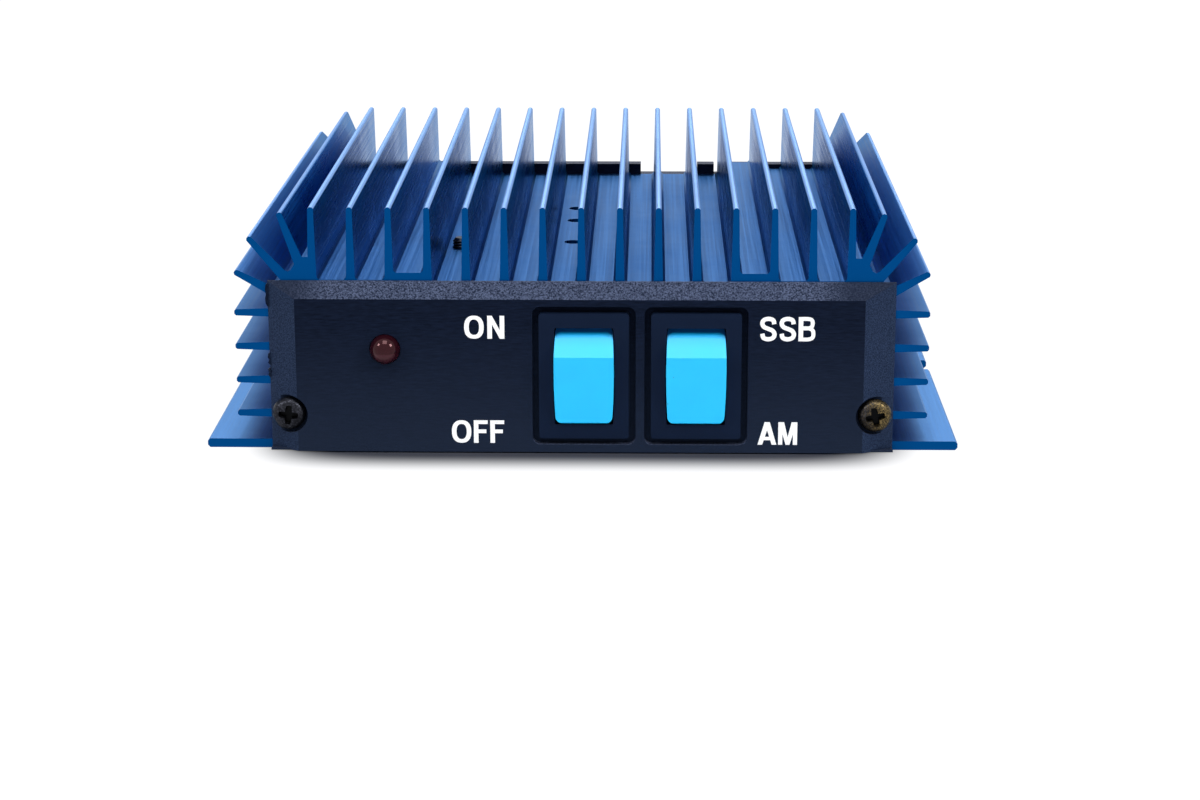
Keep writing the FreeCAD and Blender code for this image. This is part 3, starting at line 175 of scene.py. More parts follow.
def panel_abs():
    """Moulded ABS, blue-black: the flat face is drawn with fine level lines and swallows the light, the
    side bevels are finely grained and the top bevel is coarse, painted paler and with glints as if lit from
    above."""
    material, tree, shader, across = finish_called("moulded_abs_panel", {
        "Specular IOR Level": 0.1, "IOR": 1.5, "Specular Tint": hex_colour("8498C8"),
    }, stretch=(0.12, 1, 1))
    coords = add(tree, "TexCoord")
    geometry = add(tree, "NewGeometry")
    facing = add(tree, "SeparateXYZ", {0: geometry.outputs["Normal"]})
    flat = add(tree, "Math", {0: facing.outputs["Y"]}, operation="ABSOLUTE")
    flat = add(tree, "MapRange", {"Value": flat.outputs[0], "From Min": 0.93, "From Max": 0.99})
    upward = add(tree, "MapRange", {"Value": facing.outputs["Z"], "From Min": 0.2, "From Max": 0.6})
    # level lines 0.24 mm apart
    lines = add(tree, "TexNoise", {"Vector": across, "Scale": 4.2, "Detail": 4.0, "Roughness": 0.7})
    drawn = add(tree, "MapRange", {"Value": lines.outputs["Fac"], "From Min": 0.34, "From Max": 0.66})
    # mould grain, its scale per metre: 0.26 mm on the top bevel, 0.15 mm on the side bevels
    coarse = add(tree, "TexNoise", {"Vector": coords.outputs["Object"], "Scale": 3800.0, "Detail": 3.0,
                                    "Roughness": 0.75})
    # painted glints: the top bevel's coarse grain is painted with bright specks
    painted_sparkle = add(tree, "MapRange", {"Value": coarse.outputs["Fac"], "From Min": 0.4, "From Max": 0.64})
    fine = add(tree, "TexNoise", {"Vector": coords.outputs["Object"], "Scale": 6500.0, "Detail": 2.0,
                                  "Roughness": 0.6})
    grain = add(tree, "MapRange", {"Value": fine.outputs["Fac"], "From Min": 0.38, "From Max": 0.66})
    face = add(tree, "Mix", {0: drawn.outputs[0], 6: hex_colour("080E1B"), 7: hex_colour("11192B")},
               data_type="RGBA")
    # paler towards the lower edge
    place = add(tree, "SeparateXYZ", {0: coords.outputs["Object"]})
    low = add(tree, "MapRange", {"Value": place.outputs["Z"], "From Min": 22 * MM, "From Max": 1 * MM,
                                 "To Min": 0.0, "To Max": 0.75})
    face = add(tree, "Mix", {0: low.outputs[0], 6: face.outputs[2], 7: hex_colour("1E2738")},
               data_type="RGBA")
    bevel = add(tree, "Mix", {0: grain.outputs[0], 6: hex_colour("141D30"), 7: hex_colour("2C3A54")},
                data_type="RGBA")
    # painted light: the top bevel is painted paler than the side bevels, as if lit from above
    painted_lit_bevel = add(tree, "Mix", {0: painted_sparkle.outputs[0], 6: hex_colour("0F1524"), 7: hex_colour("545E78")},
                    data_type="RGBA")
    # the top bevel's painted light fades towards its two ends; its middle lies 1.5 mm left of the panel's
    ends = add(tree, "Math", {0: place.outputs["X"], 1: 1.5 * MM}, operation="ADD")
    ends = add(tree, "Math", {0: ends.outputs[0]}, operation="ABSOLUTE")
    ends = add(tree, "MapRange", {"Value": ends.outputs[0], "From Min": 39 * MM, "From Max": 46 * MM,
                                  "To Min": 0.0, "To Max": 0.8}, interpolation_type="SMOOTHSTEP")
    painted_lit_bevel = add(tree, "Mix", {0: ends.outputs[0], 6: painted_lit_bevel.outputs[2], 7: hex_colour("151C2B")},
                    data_type="RGBA")
    bevel = add(tree, "Mix", {0: upward.outputs[0], 6: bevel.outputs[2], 7: painted_lit_bevel.outputs[2]},
                data_type="RGBA")
    colour = add(tree, "Mix", {0: flat.outputs[0], 6: bevel.outputs[2], 7: face.outputs[2]}, data_type="RGBA")
    link(tree, colour.outputs[2], shader, "Base Color")
    rough = add(tree, "Mix", {0: flat.outputs[0], 2: 0.5, 3: 0.6}, data_type="FLOAT")
    link(tree, rough.outputs[0], shader, "Roughness")
    height = add(tree, "Mix", {0: upward.outputs[0], 2: fine.outputs["Fac"], 3: coarse.outputs["Fac"]},
                 data_type="FLOAT")
    height = add(tree, "Mix", {0: flat.outputs[0], 2: height.outputs[0], 3: lines.outputs["Fac"]},
                 data_type="FLOAT")
    texture = add(tree, "Bump", {"Height": height.outputs[0], "Strength": 0.6, "Distance": 0.05 * MM})
    link(tree, texture.outputs[0], shader, "Normal")
    return material


def moulded_plastic(name, dark, light, roughness, grain_mm, specular=0.5, depth_mm=0.01, sheen="FFFFFF"):
    """Injection-moulded plastic: two close tones, a fine grain and slightly uneven gloss."""
    material, tree, shader, at = finish_called(name, {"Specular IOR Level": specular, "IOR": 1.5,
                                                      "Specular Tint": hex_colour(sheen)})
    grain = add(tree, "TexNoise", {"Vector": at, "Scale": 1 / grain_mm, "Detail": 3.0, "Roughness": 0.6})
    cloud = add(tree, "TexNoise", {"Vector": at, "Scale": 0.12, "Detail": 3.0})
    colour = add(tree, "Mix", {0: cloud.outputs["Fac"], 6: hex_colour(dark), 7: hex_colour(light)},
                 data_type="RGBA")
    link(tree, colour.outputs[2], shader, "Base Color")
    rough = add(tree, "MapRange", {"Value": cloud.outputs["Fac"], "To Min": roughness - 0.06,
                                   "To Max": roughness + 0.06})
    link(tree, rough.outputs[0], shader, "Roughness")
    texture = add(tree, "Bump", {"Height": grain.outputs["Fac"], "Strength": 0.4,
                                 "Distance": depth_mm * MM})
    link(tree, texture.outputs[0], shader, "Normal")
    return material


def rocker_polycarbonate():
    """Tinted polycarbonate, moulded satin: a bright sky blue that glows a little from within, with a few
    specks of dust; its upper end is painted darker and its upper corners and rim a deep blue, as shade where
    they turn into the well."""
    material, tree, shader, at = finish_called("tinted_polycarbonate", {
        "IOR": 1.58, "Specular IOR Level": 0.34, "Subsurface Weight": 0.1, "Subsurface Scale": 0.001,
        "Subsurface Radius": (0.3, 0.7, 1.0),
    })
    cloud = add(tree, "TexNoise", {"Vector": at, "Scale": 0.18, "Detail": 2.0})
    dust = add(tree, "TexVoronoi", {"Vector": at, "Scale": 0.42, "Randomness": 1.0})
    speck = add(tree, "MapRange", {"Value": dust.outputs["Distance"], "From Min": 0.03, "From Max": 0.06,
                                   "To Min": 1.0, "To Max": 0.0})
    place = add(tree, "SeparateXYZ", {0: at})
    # painted shade on the rim: out of a rounded frame 9.8 mm wide with corners of 1.3 mm, open downwards
    sideways = [add(tree, "Math", {0: add(tree, "Math", {0: place.outputs["X"], 1: across},
                                          operation="SUBTRACT").outputs[0]}, operation="ABSOLUTE")
                for across in SWITCHES.values()]
    sideways = add(tree, "Math", {0: sideways[0].outputs[0], 1: sideways[1].outputs[0]}, operation="MINIMUM")
    sideways = add(tree, "MapRange", {"Value": sideways.outputs[0], "From Min": 3.6, "From Max": 5.2,
                                      "To Min": 0.0, "To Max": 1.6})
    upwards = add(tree, "MapRange", {"Value": place.outputs["Z"], "From Min": 18.95, "From Max": 20.95,
                                     "To Min": 0.0, "To Max": 2.0})
    corner = add(tree, "CombineXYZ", {"X": sideways.outputs[0], "Y": upwards.outputs[0]})
    corner = add(tree, "VectorMath", {0: corner.outputs[0]}, operation="LENGTH")
    painted_rim_shade = add(tree, "MapRange", {"Value": corner.outputs["Value"], "From Min": 1.2, "From Max": 1.6},
              interpolation_type="SMOOTHSTEP")
    # painted shade: darker towards the upper end, where the bezel's shadow falls
    upper = add(tree, "MapRange", {"Value": place.outputs["Z"], "From Min": 18.2, "From Max": 21.0,
                                   "To Min": 0.0, "To Max": 0.55})
    colour = add(tree, "Mix", {0: cloud.outputs["Fac"], 6: hex_colour("00B8F8"), 7: hex_colour("08C2FF")},
                 data_type="RGBA")
    colour = add(tree, "Mix", {0: speck.outputs[0], 6: colour.outputs[2], 7: hex_colour("17608C")},
                 data_type="RGBA")
    colour = add(tree, "Mix", {0: upper.outputs[0], 6: colour.outputs[2], 7: hex_colour("0084CC")},
                 data_type="RGBA")
    colour = add(tree, "Mix", {0: painted_rim_shade.outputs[0], 6: colour.outputs[2], 7: hex_colour("044A86")},
                 data_type="RGBA")
    link(tree, colour.outputs[2], shader, "Base Color")
    rough = add(tree, "MapRange", {"Value": cloud.outputs["Fac"], "To Min": 0.36, "To Max": 0.46})
    link(tree, rough.outputs[0], shader, "Roughness")
    return material


def lamp_epoxy():
    """Cast epoxy, clear over a dark red body: a hard gloss, with the lower flank of the die cup painted
    as a paler half disc, as the light that it reflects."""
    material, tree, shader, at = finish_called("red_epoxy_lens", {
        "IOR": 1.53, "Roughness": 0.03, "Specular IOR Level": 0.3, "Specular Tint": hex_colour("FFC0C4"),
    })
    centre = (LAMP[0], 0, LAMP[1])
    flat = add(tree, "VectorMath", {0: at, 1: (1, 0, 1)}, operation="MULTIPLY")
    out = add(tree, "VectorMath", {0: flat.outputs[0], 1: centre}, operation="DISTANCE")
    inside = add(tree, "MapRange", {"Value": out.outputs["Value"], "From Min": 1.75, "From Max": 1.95,
                                    "To Min": 1.0, "To Max": 0.0})
    place = add(tree, "SeparateXYZ", {0: at})
    below = add(tree, "MapRange", {"Value": place.outputs["Z"], "From Min": LAMP[1] - 0.5,
                                   "From Max": LAMP[1] - 0.3, "To Min": 1.0, "To Max": 0.0})
    # painted reflection: the lower half of the die cup is painted paler, as the light it catches
    cup_painted_reflection = add(tree, "Math", {0: inside.outputs[0], 1: below.outputs[0]}, operation="MULTIPLY")
    cloud = add(tree, "TexNoise", {"Vector": at, "Scale": 1.6, "Detail": 3.0})
    colour = add(tree, "Mix", {0: cloud.outputs["Fac"], 6: hex_colour("1A030A"), 7: hex_colour("26070F")},
                 data_type="RGBA")
    colour = add(tree, "Mix", {0: cup_painted_reflection.outputs[0], 6: colour.outputs[2], 7: hex_colour("361A22")},
                 data_type="RGBA")
    link(tree, colour.outputs[2], shader, "Base Color")
    return material


def black_oxide_steel():
    """Steel with a black oxide skin: dark and oily, rubbed to grey on the left screw and worn through
    to a bronze base in a mottle on the right one; the driver's recess is painted near black as its shade, and
    the right head's inner half is left darker as painted shade."""
    material, tree, shader, at = finish_called("black_oxide_steel", {"Metallic": 0.9})
    place = add(tree, "SeparateXYZ", {0: at})
    right = add(tree, "MapRange", {"Value": place.outputs["X"], "From Min": 10.0, "From Max": 20.0})
    front = add(tree, "MapRange", {"Value": place.outputs["Y"], "From Min": -30.0, "From Max": -40.0})
    worn_side = add(tree, "Math", {0: right.outputs[0], 1: front.outputs[0]}, operation="MULTIPLY")
    scuffs = add(tree, "TexNoise", {"Vector": at, "Scale": 2.6, "Detail": 6.0, "Roughness": 0.8})
    specks = add(tree, "TexNoise", {"Vector": at, "Scale": 5.0, "Detail": 4.0, "Roughness": 0.8})
    rubbed = add(tree, "MapRange", {"Value": scuffs.outputs["Fac"], "From Min": 0.48, "From Max": 0.68})
    bare = add(tree, "MapRange", {"Value": specks.outputs["Fac"], "From Min": 0.47, "From Max": 0.58})
    greyed = add(tree, "Mix", {0: rubbed.outputs[0], 6: hex_colour("191A20"), 7: hex_colour("44464F")},
                 data_type="RGBA")
    browned = add(tree, "Mix", {0: bare.outputs[0], 6: hex_colour("1E1B16"), 7: hex_colour("7E6C46")},
                  data_type="RGBA")
    # the wear is on the outer half of the head; the inner half is left darker as painted shade
    outer = add(tree, "MapRange", {"Value": place.outputs["X"], "From Min": 46.6, "From Max": 49.0,
                                   "To Min": 0.2, "To Max": 1.0})
    worn_side = add(tree, "Math", {0: worn_side.outputs[0], 1: outer.outputs[0]}, operation="MULTIPLY")
    colour = add(tree, "Mix", {0: worn_side.outputs[0], 6: greyed.outputs[2], 7: browned.outputs[2]},
                 data_type="RGBA")
    # painted shade in the recess: within 1.85 mm of a panel screw's axis and more than 0.1 mm below the crown
    depth = add(tree, "Math", {0: place.outputs["Y"]}, operation="ABSOLUTE")
    axis = add(tree, "Math", {0: place.outputs["X"]}, operation="ABSOLUTE")
    axis = add(tree, "CombineXYZ", {"X": axis.outputs[0], "Z": place.outputs["Z"]})
    axis = add(tree, "VectorMath", {0: axis.outputs[0], 1: (PANEL_SCREWS["right"], 0, PANEL_SCREW_HEIGHT)},
               operation="DISTANCE")
    # the crown stands at 53.0 mm on the axis and falls to 52.2 mm near its rim
    crown = add(tree, "MapRange", {"Value": axis.outputs["Value"], "From Min": 0.0, "From Max": 2.4,
                                   "To Min": 53.0, "To Max": 52.2})
    crown = add(tree, "Math", {0: crown.outputs[0], 1: depth.outputs[0]}, operation="SUBTRACT")
    sunk = add(tree, "MapRange", {"Value": crown.outputs[0], "From Min": 0.1, "From Max": 0.4})
    within = add(tree, "MapRange", {"Value": axis.outputs["Value"], "From Min": 1.8, "From Max": 1.9,
                                    "To Min": 1.0, "To Max": 0.0})
    painted_recess_shade = add(tree, "Math", {0: sunk.outputs[0], 1: within.outputs[0]}, operation="MULTIPLY")
    painted_recess_shade = add(tree, "Math", {0: painted_recess_shade.outputs[0], 1: front.outputs[0]}, operation="MULTIPLY")
    colour = add(tree, "Mix", {0: painted_recess_shade.outputs[0], 6: colour.outputs[2], 7: hex_colour("050608")},
                 data_type="RGBA")
    link(tree, colour.outputs[2], shader, "Base Color")
    rough = add(tree, "MapRange", {"Value": scuffs.outputs["Fac"], "To Min": 0.22, "To Max": 0.5})
    link(tree, rough.outputs[0], shader, "Roughness")
    pits = add(tree, "Bump", {"Height": specks.outputs["Fac"], "Strength": 0.3, "Distance": 0.04 * MM})
    link(tree, pits.outputs[0], shader, "Normal")
    return material


def plated_metal(name, dark, light, roughness, scratch_mm, stretch=(1, 1, 1)):
    """Plated, rolled or turned bare metal: a metal colour in two close tones with fine marks."""
    material, tree, shader, at = finish_called(name, {"Metallic": 1.0}, stretch)
    marks = add(tree, "TexNoise", {"Vector": at, "Scale": 1 / scratch_mm, "Detail": 5.0, "Roughness": 0.7})
    colour = add(tree, "Mix", {0: marks.outputs["Fac"], 6: hex_colour(dark), 7: hex_colour(light)},
                 data_type="RGBA")
    link(tree, colour.outputs[2], shader, "Base Color")
    rough = add(tree, "MapRange", {"Value": marks.outputs["Fac"], "From Min": 0.3, "From Max": 0.7,
                                   "To Min": roughness - 0.08, "To Max": roughness + 0.1})
    link(tree, rough.outputs[0], shader, "Roughness")
    texture = add(tree, "Bump", {"Height": marks.outputs["Fac"], "Strength": 0.25,
                                 "Distance": 0.02 * MM})
    link(tree, texture.outputs[0], shader, "Normal")
    return material


def printing_ink():
    """Screen-printed white ink: a thin matt film, pricked here and there where the grain shows."""
    material, tree, shader, at = finish_called("screen_printed_ink", {
        "Roughness": 0.6, "Specular IOR Level": 0.3,
    })
    film = add(tree, "TexNoise", {"Vector": at, "Scale": 5.0, "Detail": 3.0, "Roughness": 0.8})
    thin = add(tree, "MapRange", {"Value": film.outputs["Fac"], "From Min": 0.30, "From Max": 0.40})
    colour = add(tree, "Mix", {0: thin.outputs[0], 6: hex_colour("9AA2B4"), 7: hex_colour("F4F6FA")},
                 data_type="RGBA")
    link(tree, colour.outputs[2], shader, "Base Color")
    return material


def board_laminate():
    """Glass-epoxy laminate under green solder resist: copper runs show through as paler bands."""
    material, tree, shader, at = finish_called("solder_resist_laminate", {"Roughness": 0.35})
    runs = add(tree, "TexBrick", {"Vector": at, "Color1": (0, 0, 0, 1), "Color2": (0.15, 0.15, 0.15, 1),
                                  "Mortar": (1, 1, 1, 1), "Scale": 0.16, "Mortar Size": 0.05,
                                  "Brick Width": 1.7, "Row Height": 0.5})
    weave = add(tree, "TexNoise", {"Vector": at, "Scale": 2.2, "Detail": 2.0})
    green = add(tree, "Mix", {0: weave.outputs["Fac"], 6: hex_colour("11502C"), 7: hex_colour("196338")},
                data_type="RGBA")
    colour = add(tree, "Mix", {0: runs.outputs["Color"], 6: green.outputs[2], 7: hex_colour("2F8A4C")},
                 data_type="RGBA")
    link(tree, colour.outputs[2], shader, "Base Color")
    raised = add(tree, "Bump", {"Height": runs.outputs["Color"], "Strength": 0.4,
                                "Distance": 0.06 * MM})
    link(tree, raised.outputs[0], shader, "Normal")
    return material


def wound_copper():
    """Enamelled copper: orange metal under a thin varnish."""
    material = plated_metal("enamelled_copper", "9C4A20", "C8703A", roughness=0.28, scratch_mm=0.4)
    material.node_tree.nodes["Principled BSDF"].inputs["Coat Weight"].default_value = 0.5
    return material


FINISHES = {
    "anodised_aluminium": anodised_aluminium(),
    "panel_plastic": panel_abs(),
    # moulded ABS, satin: blue-black with a soft sheen
    "switch_plastic": moulded_plastic("satin_abs", "0A1221", "101A2D", roughness=0.4, grain_mm=0.25,
                                      specular=0.2, sheen="7C98D8"),
    "rocker_plastic": rocker_polycarbonate(),
    # rolled aluminium sheet: long marks from the rolls
    "bare_aluminium": plated_metal("rolled_aluminium", "A9ABAF", "C6C8CB", roughness=0.42, scratch_mm=0.5,
                                   stretch=(1, 0.03, 1)),
    "black_steel": black_oxide_steel(),
    # zinc-plated steel: cool grey with a faint mottle
    "plated_steel": plated_metal("zinc_plated_steel", "8E9297", "B6B9BD", roughness=0.36, scratch_mm=0.6),
    # bright nickel plate: a warm, clear mirror
    "nickel": plated_metal("bright_nickel_plate", "B7B2A6", "D2CEC4", roughness=0.2, scratch_mm=0.8),
    # brass, pressed and tinned at its ends
    "contact_brass": plated_metal("pressed_brass", "A8884A", "CBAA66", roughness=0.3, scratch_mm=0.5),
    # moulded fluoropolymer: waxy white
    "white_insulator": moulded_plastic("white_fluoropolymer", "DAD9D3", "EBEAE5", roughness=0.4, grain_mm=0.3,
                                       specular=0.4),
    "lamp_red": lamp_epoxy(),
    # moulded rubber: matt, close to black
    "bush_rubber": moulded_plastic("moulded_rubber", "121212", "1C1C1D", roughness=0.75, grain_mm=0.2,
                                   specular=0.3, depth_mm=0.03),
    "board_laminate": board_laminate(),
    # filled epoxy, moulded: fine matt grain
    "component_black": moulded_plastic("filled_epoxy", "131314", "202022", roughness=0.55, grain_mm=0.12,
                                       specular=0.35, depth_mm=0.02),
    # silicone-loaded glass cloth: grey and dull
    "insulating_pad": moulded_plastic("silicone_pad", "9B9B9F", "ADADB0", roughness=0.7, grain_mm=0.3,
                                      specular=0.3, depth_mm=0.02),
    # sintered ferrite: dark grey, rough and slightly metallic
    "ferrite": moulded_plastic("sintered_ferrite", "1F1F22", "323236", roughness=0.6, grain_mm=0.25,
                               specular=0.5, depth_mm=0.05),
    "copper": wound_copper(),
    # cement filling of power resistors: chalky and pitted
    "resistor_cement": moulded_plastic("resistor_cement", "C4BCA4", "DCD6C2", roughness=0.85, grain_mm=0.3,
                                       specular=0.2, depth_mm=0.08),
}
WHITE_INK = printing_ink()


# ---------------------------------------------------------------------------------- piece building

def from_bmesh(name, mesh, slot, body, *stands_for):
    """Makes an object of a bmesh in millimetres, dresses it and lets it ride on its body."""
    bmesh.ops.scale(mesh, vec=(MM, MM, MM), verts=mesh.verts)
    data = bpy.data.meshes.new(name)
    mesh.to_mesh(data)
    mesh.free()
    return dress(bpy.data.objects.new(name, data), slot, body, *stands_for)


def dress(piece, slot, body, *stands_for):
    """Gives an object its finish and its body, and hides the CAD nodes that it is shown for."""
    if piece.name not in bpy.context.scene.collection.objects:
        bpy.context.scene.collection.objects.link(piece)
    piece.data.materials.clear()
    piece.data.materials.append(FINISHES[slot])
    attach(piece, body)
    if stands_for:
        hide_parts(*stands_for)
    return piece


def smooth_over(piece, degrees):
    """Shades faces smooth across every edge flatter than the angle."""
    for face in piece.data.polygons:
        face.use_smooth = True
    for edge in sharp_edges(piece.data, math.radians(degrees)):
        piece.data.edges[edge].use_edge_sharp = True


def sharp_edges(data, limit):
    """The edges of a mesh that are open or turn by more than the limit in radians."""
    mesh = bmesh.new()
    mesh.from_mesh(data)
    found = [edge.index for edge in mesh.edges
             if len(edge.link_faces) != 2 or edge.calc_face_angle(0) > limit]
    mesh.free()
    return found


def softened(node, name, slot, body, width, segments=3, degrees=30, reshape=None):
    """A copy of a CAD node with its moulded or broken edges rounded by a width in millimetres; edges
    flatter than the angle are left as they are."""
    mesh = bmesh.new()
    mesh.from_mesh(frame["nodes"][node].data)
    bmesh.ops.remove_doubles(mesh, verts=mesh.verts, dist=0.002 * MM)
    bmesh.ops.dissolve_limit(mesh, angle_limit=math.radians(0.6), verts=mesh.verts, edges=mesh.edges)
    bmesh.ops.recalc_face_normals(mesh, faces=mesh.faces)
    if reshape:
        reshape(mesh)
    for face in mesh.faces:
        face.smooth = True
    data = bpy.data.meshes.new(name)
    mesh.to_mesh(data)
    mesh.free()
    piece = bpy.data.objects.new(name, data)
    bpy.context.scene.collection.objects.link(piece)
    rounding = piece.modifiers.new("edges", "BEVEL")
    rounding.width = width * MM
    rounding.segments = segments
    rounding.limit_method = "ANGLE"
    rounding.angle_limit = math.radians(degrees)
    rounding.use_clamp_overlap = True
    # flat faces keep their own direction and the narrow rounds take up the turn
    shading = piece.modifiers.new("shading", "WEIGHTED_NORMAL")
    shading.mode = "FACE_AREA"
    shading.weight = 100
    rounded_mesh = result_of(piece)
    piece.modifiers.clear()
    piece.data = rounded_mesh
    return dress(piece, slot, body, node)


def result_of(piece):
    """A new mesh of the object as its modifiers leave it."""
    return bpy.data.meshes.new_from_object(piece.evaluated_get(bpy.context.evaluated_depsgraph_get()))


def standing_on(axis):
    """The turn that lays the Z axis along the given one."""
    return Vector((0, 0, 1)).rotation_difference(Vector(axis)).to_matrix()


def skin(mesh, rings):
    """Faces from each ring of vertices to the next; a ring of one vertex is a point."""
    for first, second in zip(rings, rings[1:]):
        for i in range(max(len(first), len(second))):
            corners = [first[i % len(first)], first[(i + 1) % len(first)],
                       second[(i + 1) % len(second)], second[i % len(second)]]
            corners = list(dict.fromkeys(corners))
            if len(corners) > 2:
                mesh.faces.new(corners)


def turned(mesh, profile, centre, axis, steps):
    """Spins a profile of (radius, along) about an axis through the centre, all in millimetres."""
    turn = standing_on(axis)
    rings = []
    for radius, along in profile:
        if radius < 1e-6:
            rings.append([mesh.verts.new(turn @ Vector((0, 0, along)) + Vector(centre))])
            continue
        ring = []
        for i in range(steps):
            angle = 2 * math.pi * i / steps
            place = Vector((radius * math.cos(angle), radius * math.sin(angle), along))
            ring.append(mesh.verts.new(turn @ place + Vector(centre)))
        rings.append(ring)
    skin(mesh, rings)


def rounded(profile, radius):
    """Rounds the inner corners of an open (radius, along) profile, each with five points."""
    steps = 4
    points = [Vector(point) for point in profile]
    result = [points[0]]
    for before, corner, after in zip(points, points[1:], points[2:]):
        reach = min(radius, (before - corner).length * 0.45, (after - corner).length * 0.45)
        start = corner + (before - corner).normalized() * reach
        end = corner + (after - corner).normalized() * reach
        for step in range(steps + 1):
            t = step / steps
            result.append(start * (1 - t) ** 2 + corner * 2 * t * (1 - t) + end * t ** 2)
    result.append(points[-1])
    return [tuple(point) for point in result]


def thread(mesh, centre, axis, root, crest, pitch, start, end, steps=40):
    """A helical thread from start to end along an axis; it fades out over half a turn at each end and
    has flats a quarter of the pitch wide on its crests."""
    rows_per_turn = 5
    fading = pitch * 0.5
    turn = standing_on(axis)
    count = int((end - start) / pitch * rows_per_turn)
    rings = []
    for row in range(count + 1):
        along = start + (end - start) * row / count
        fade = min(1, (along - start) / fading, (end - along) / fading)
        ring = []
        for i in range(steps):
            angle = 2 * math.pi * i / steps
            phase = (along / pitch - i / steps) % 1.0
            rise = 1 - abs(phase * 2 - 1)
            radius = root + (crest - root) * min(1.0, rise * 1.35) * fade
            place = Vector((radius * math.cos(angle), radius * math.sin(angle), along))
            ring.append(mesh.verts.new(turn @ place + Vector(centre)))
        rings.append(ring)
    skin(mesh, rings)


# ------------------------------------------------------------------------------------------ screws

THREAD_CREST = 1.44
THREAD_ROOT = 1.2
THREAD_PITCH = 0.5
PANEL_SCREW_LENGTH = 9.0
PANEL_COUNTERBORE = 1.5
PAN_HEAD = [(1.5, 0), (2.55, 0), (2.78, 0.25), (2.74, 0.7), (2.35, 1.35), (1.4, 1.78), (0, 1.88)]


def cross_recess(mesh, seat, axis, tilt):
    """A four-armed cutter for the driver with steep walls, its mouth at the seat."""
    depth, across, arm = 1.35, 3.35, 0.95
    end, shoulder, root = across / 2, across / 2 - 0.12, arm * 0.62
    one_arm = ((shoulder, -arm / 2), (end, -arm / 4), (end, arm / 4), (shoulder, arm / 2), (root, root))
    turn = standing_on(axis)
    outline = []
    for quarter in range(4):
        spin = Matrix.Rotation(math.radians(90 * quarter + tilt), 2)
        outline.extend(spin @ Vector(point) for point in one_arm)
    levels = [[mesh.verts.new(turn @ Vector((point.x * share, point.y * share, along)) + Vector(seat))
               for point in outline]
              for share, along in ((1.04, 0.4), (1.0, 0.0), (0.8, -depth))]
    skin(mesh, levels)
    mesh.faces.new(levels[0])
    mesh.faces.new(list(reversed(levels[-1])))


def cut_out(solid, tools):
    """What is left of one closed shape when another is taken from it, both in millimetres."""
    shapes = []
    for name, mesh in (("solid", solid), ("tools", tools)):
        bmesh.ops.remove_doubles(mesh, verts=mesh.verts, dist=WELD)
        bmesh.ops.recalc_face_normals(mesh, faces=mesh.faces)
        data = bpy.data.meshes.new(name)
        mesh.to_mesh(data)
        mesh.free()
        shapes.append(bpy.data.objects.new(name, data))
        bpy.context.scene.collection.objects.link(shapes[-1])
    cutting = shapes[0].modifiers.new("cut", "BOOLEAN")
    cutting.object = shapes[1]
    cutting.solver = "EXACT"
    left = bmesh.new()
    left.from_mesh(result_of(shapes[0]))
    for shape in shapes:
        bpy.data.objects.remove(shape)
    return left


def pan_head_screws(name, node, axis, seat, tilts):
    """Two pan-head screws with a cross recess and a rolled thread, their heads on the seat."""
    heads = bmesh.new()
    cutters = bmesh.new()
    places = [(x, seat, PANEL_SCREW_HEIGHT) for x in PANEL_SCREWS.values()]
    for base, tilt in zip(places, tilts):
        turned(heads, [(0, 0), *rounded(PAN_HEAD, 0.35)], base, axis, 56)
        crown = tuple(b + 1.9 * a for b, a in zip(base, axis))
        cross_recess(cutters, crown, axis, tilt)
    screws = cut_out(heads, cutters)
    neck = -0.6
    point = -PANEL_SCREW_LENGTH + 0.5
    for base in places:
        thread(screws, base, axis, THREAD_ROOT, THREAD_CREST, THREAD_PITCH, point, neck)
        turned(screws, [(0, -PANEL_SCREW_LENGTH), (0.9, -PANEL_SCREW_LENGTH), (THREAD_ROOT, point)],
               base, axis, 40)
        turned(screws, [(THREAD_ROOT, neck), (THREAD_ROOT, 0.0)], base, axis, 40)
    bmesh.ops.remove_doubles(screws, verts=screws.verts, dist=WELD)
    smooth_over(from_bmesh(name, screws, "black_steel", "amplifier", node), 40)


pan_head_screws("front_pan_heads", "front_panel_screws", (0, -1, 0), PANEL_FACE + PANEL_COUNTERBORE,
                tilts=(-6, 12))
pan_head_screws("rear_pan_heads", "rear_panel_screws", (0, 1, 0), REAR_FACE, tilts=(20, 61))


def deck_screw():
    """The long screw through the board and its pillar; its end stands out of the deck."""
    mesh = bmesh.new()
    base = (*DECK_SCREW, 0)
    upward = (0, 0, 1)
    root, under_head, end = 1.15, 9.5, 28.8
    thread(mesh, base, upward, root, THREAD_CREST, THREAD_PITCH, under_head + 0.1, end, steps=32)
    turned(mesh, [(root, end), (0.95, 29.1), (0.5, 29.12), (0, 29.0)], base, upward, 32)
    head = [(0, 7.62), (1.6, 7.65), (2.5, 8.1), (2.78, 8.8), (2.7, under_head), (root, under_head)]
    turned(mesh, rounded(head, 0.3), base, upward, 32)
    smooth_over(from_bmesh("deck_screw", mesh, "black_steel", "amplifier", "board_screw"), 50)


deck_screw()


# ---------------------------------------------------------------------------- switches and the lamp

PIVOT_DEPTH = 3.2
ROCKER_REST_TILT = 9
ROCKER_RIDGE = 2.8


def upper_end_drawn_in(across, share):
    """Draws a rocker's end above the ridge in towards its axis."""
    pivot = Vector((across, PANEL_FACE + PIVOT_DEPTH, SWITCH_HEIGHT)) * MM
    upright = Matrix.Rotation(math.radians(ROCKER_REST_TILT), 3, "X")
    ridge = ROCKER_RIDGE * MM

    def move(mesh):
        for vertex in mesh.verts:
            place = upright @ (vertex.co - pivot)
            if place.z > ridge:
                place.z = ridge + (place.z - ridge) * share
                vertex.co = upright.transposed() @ place + pivot
    return move


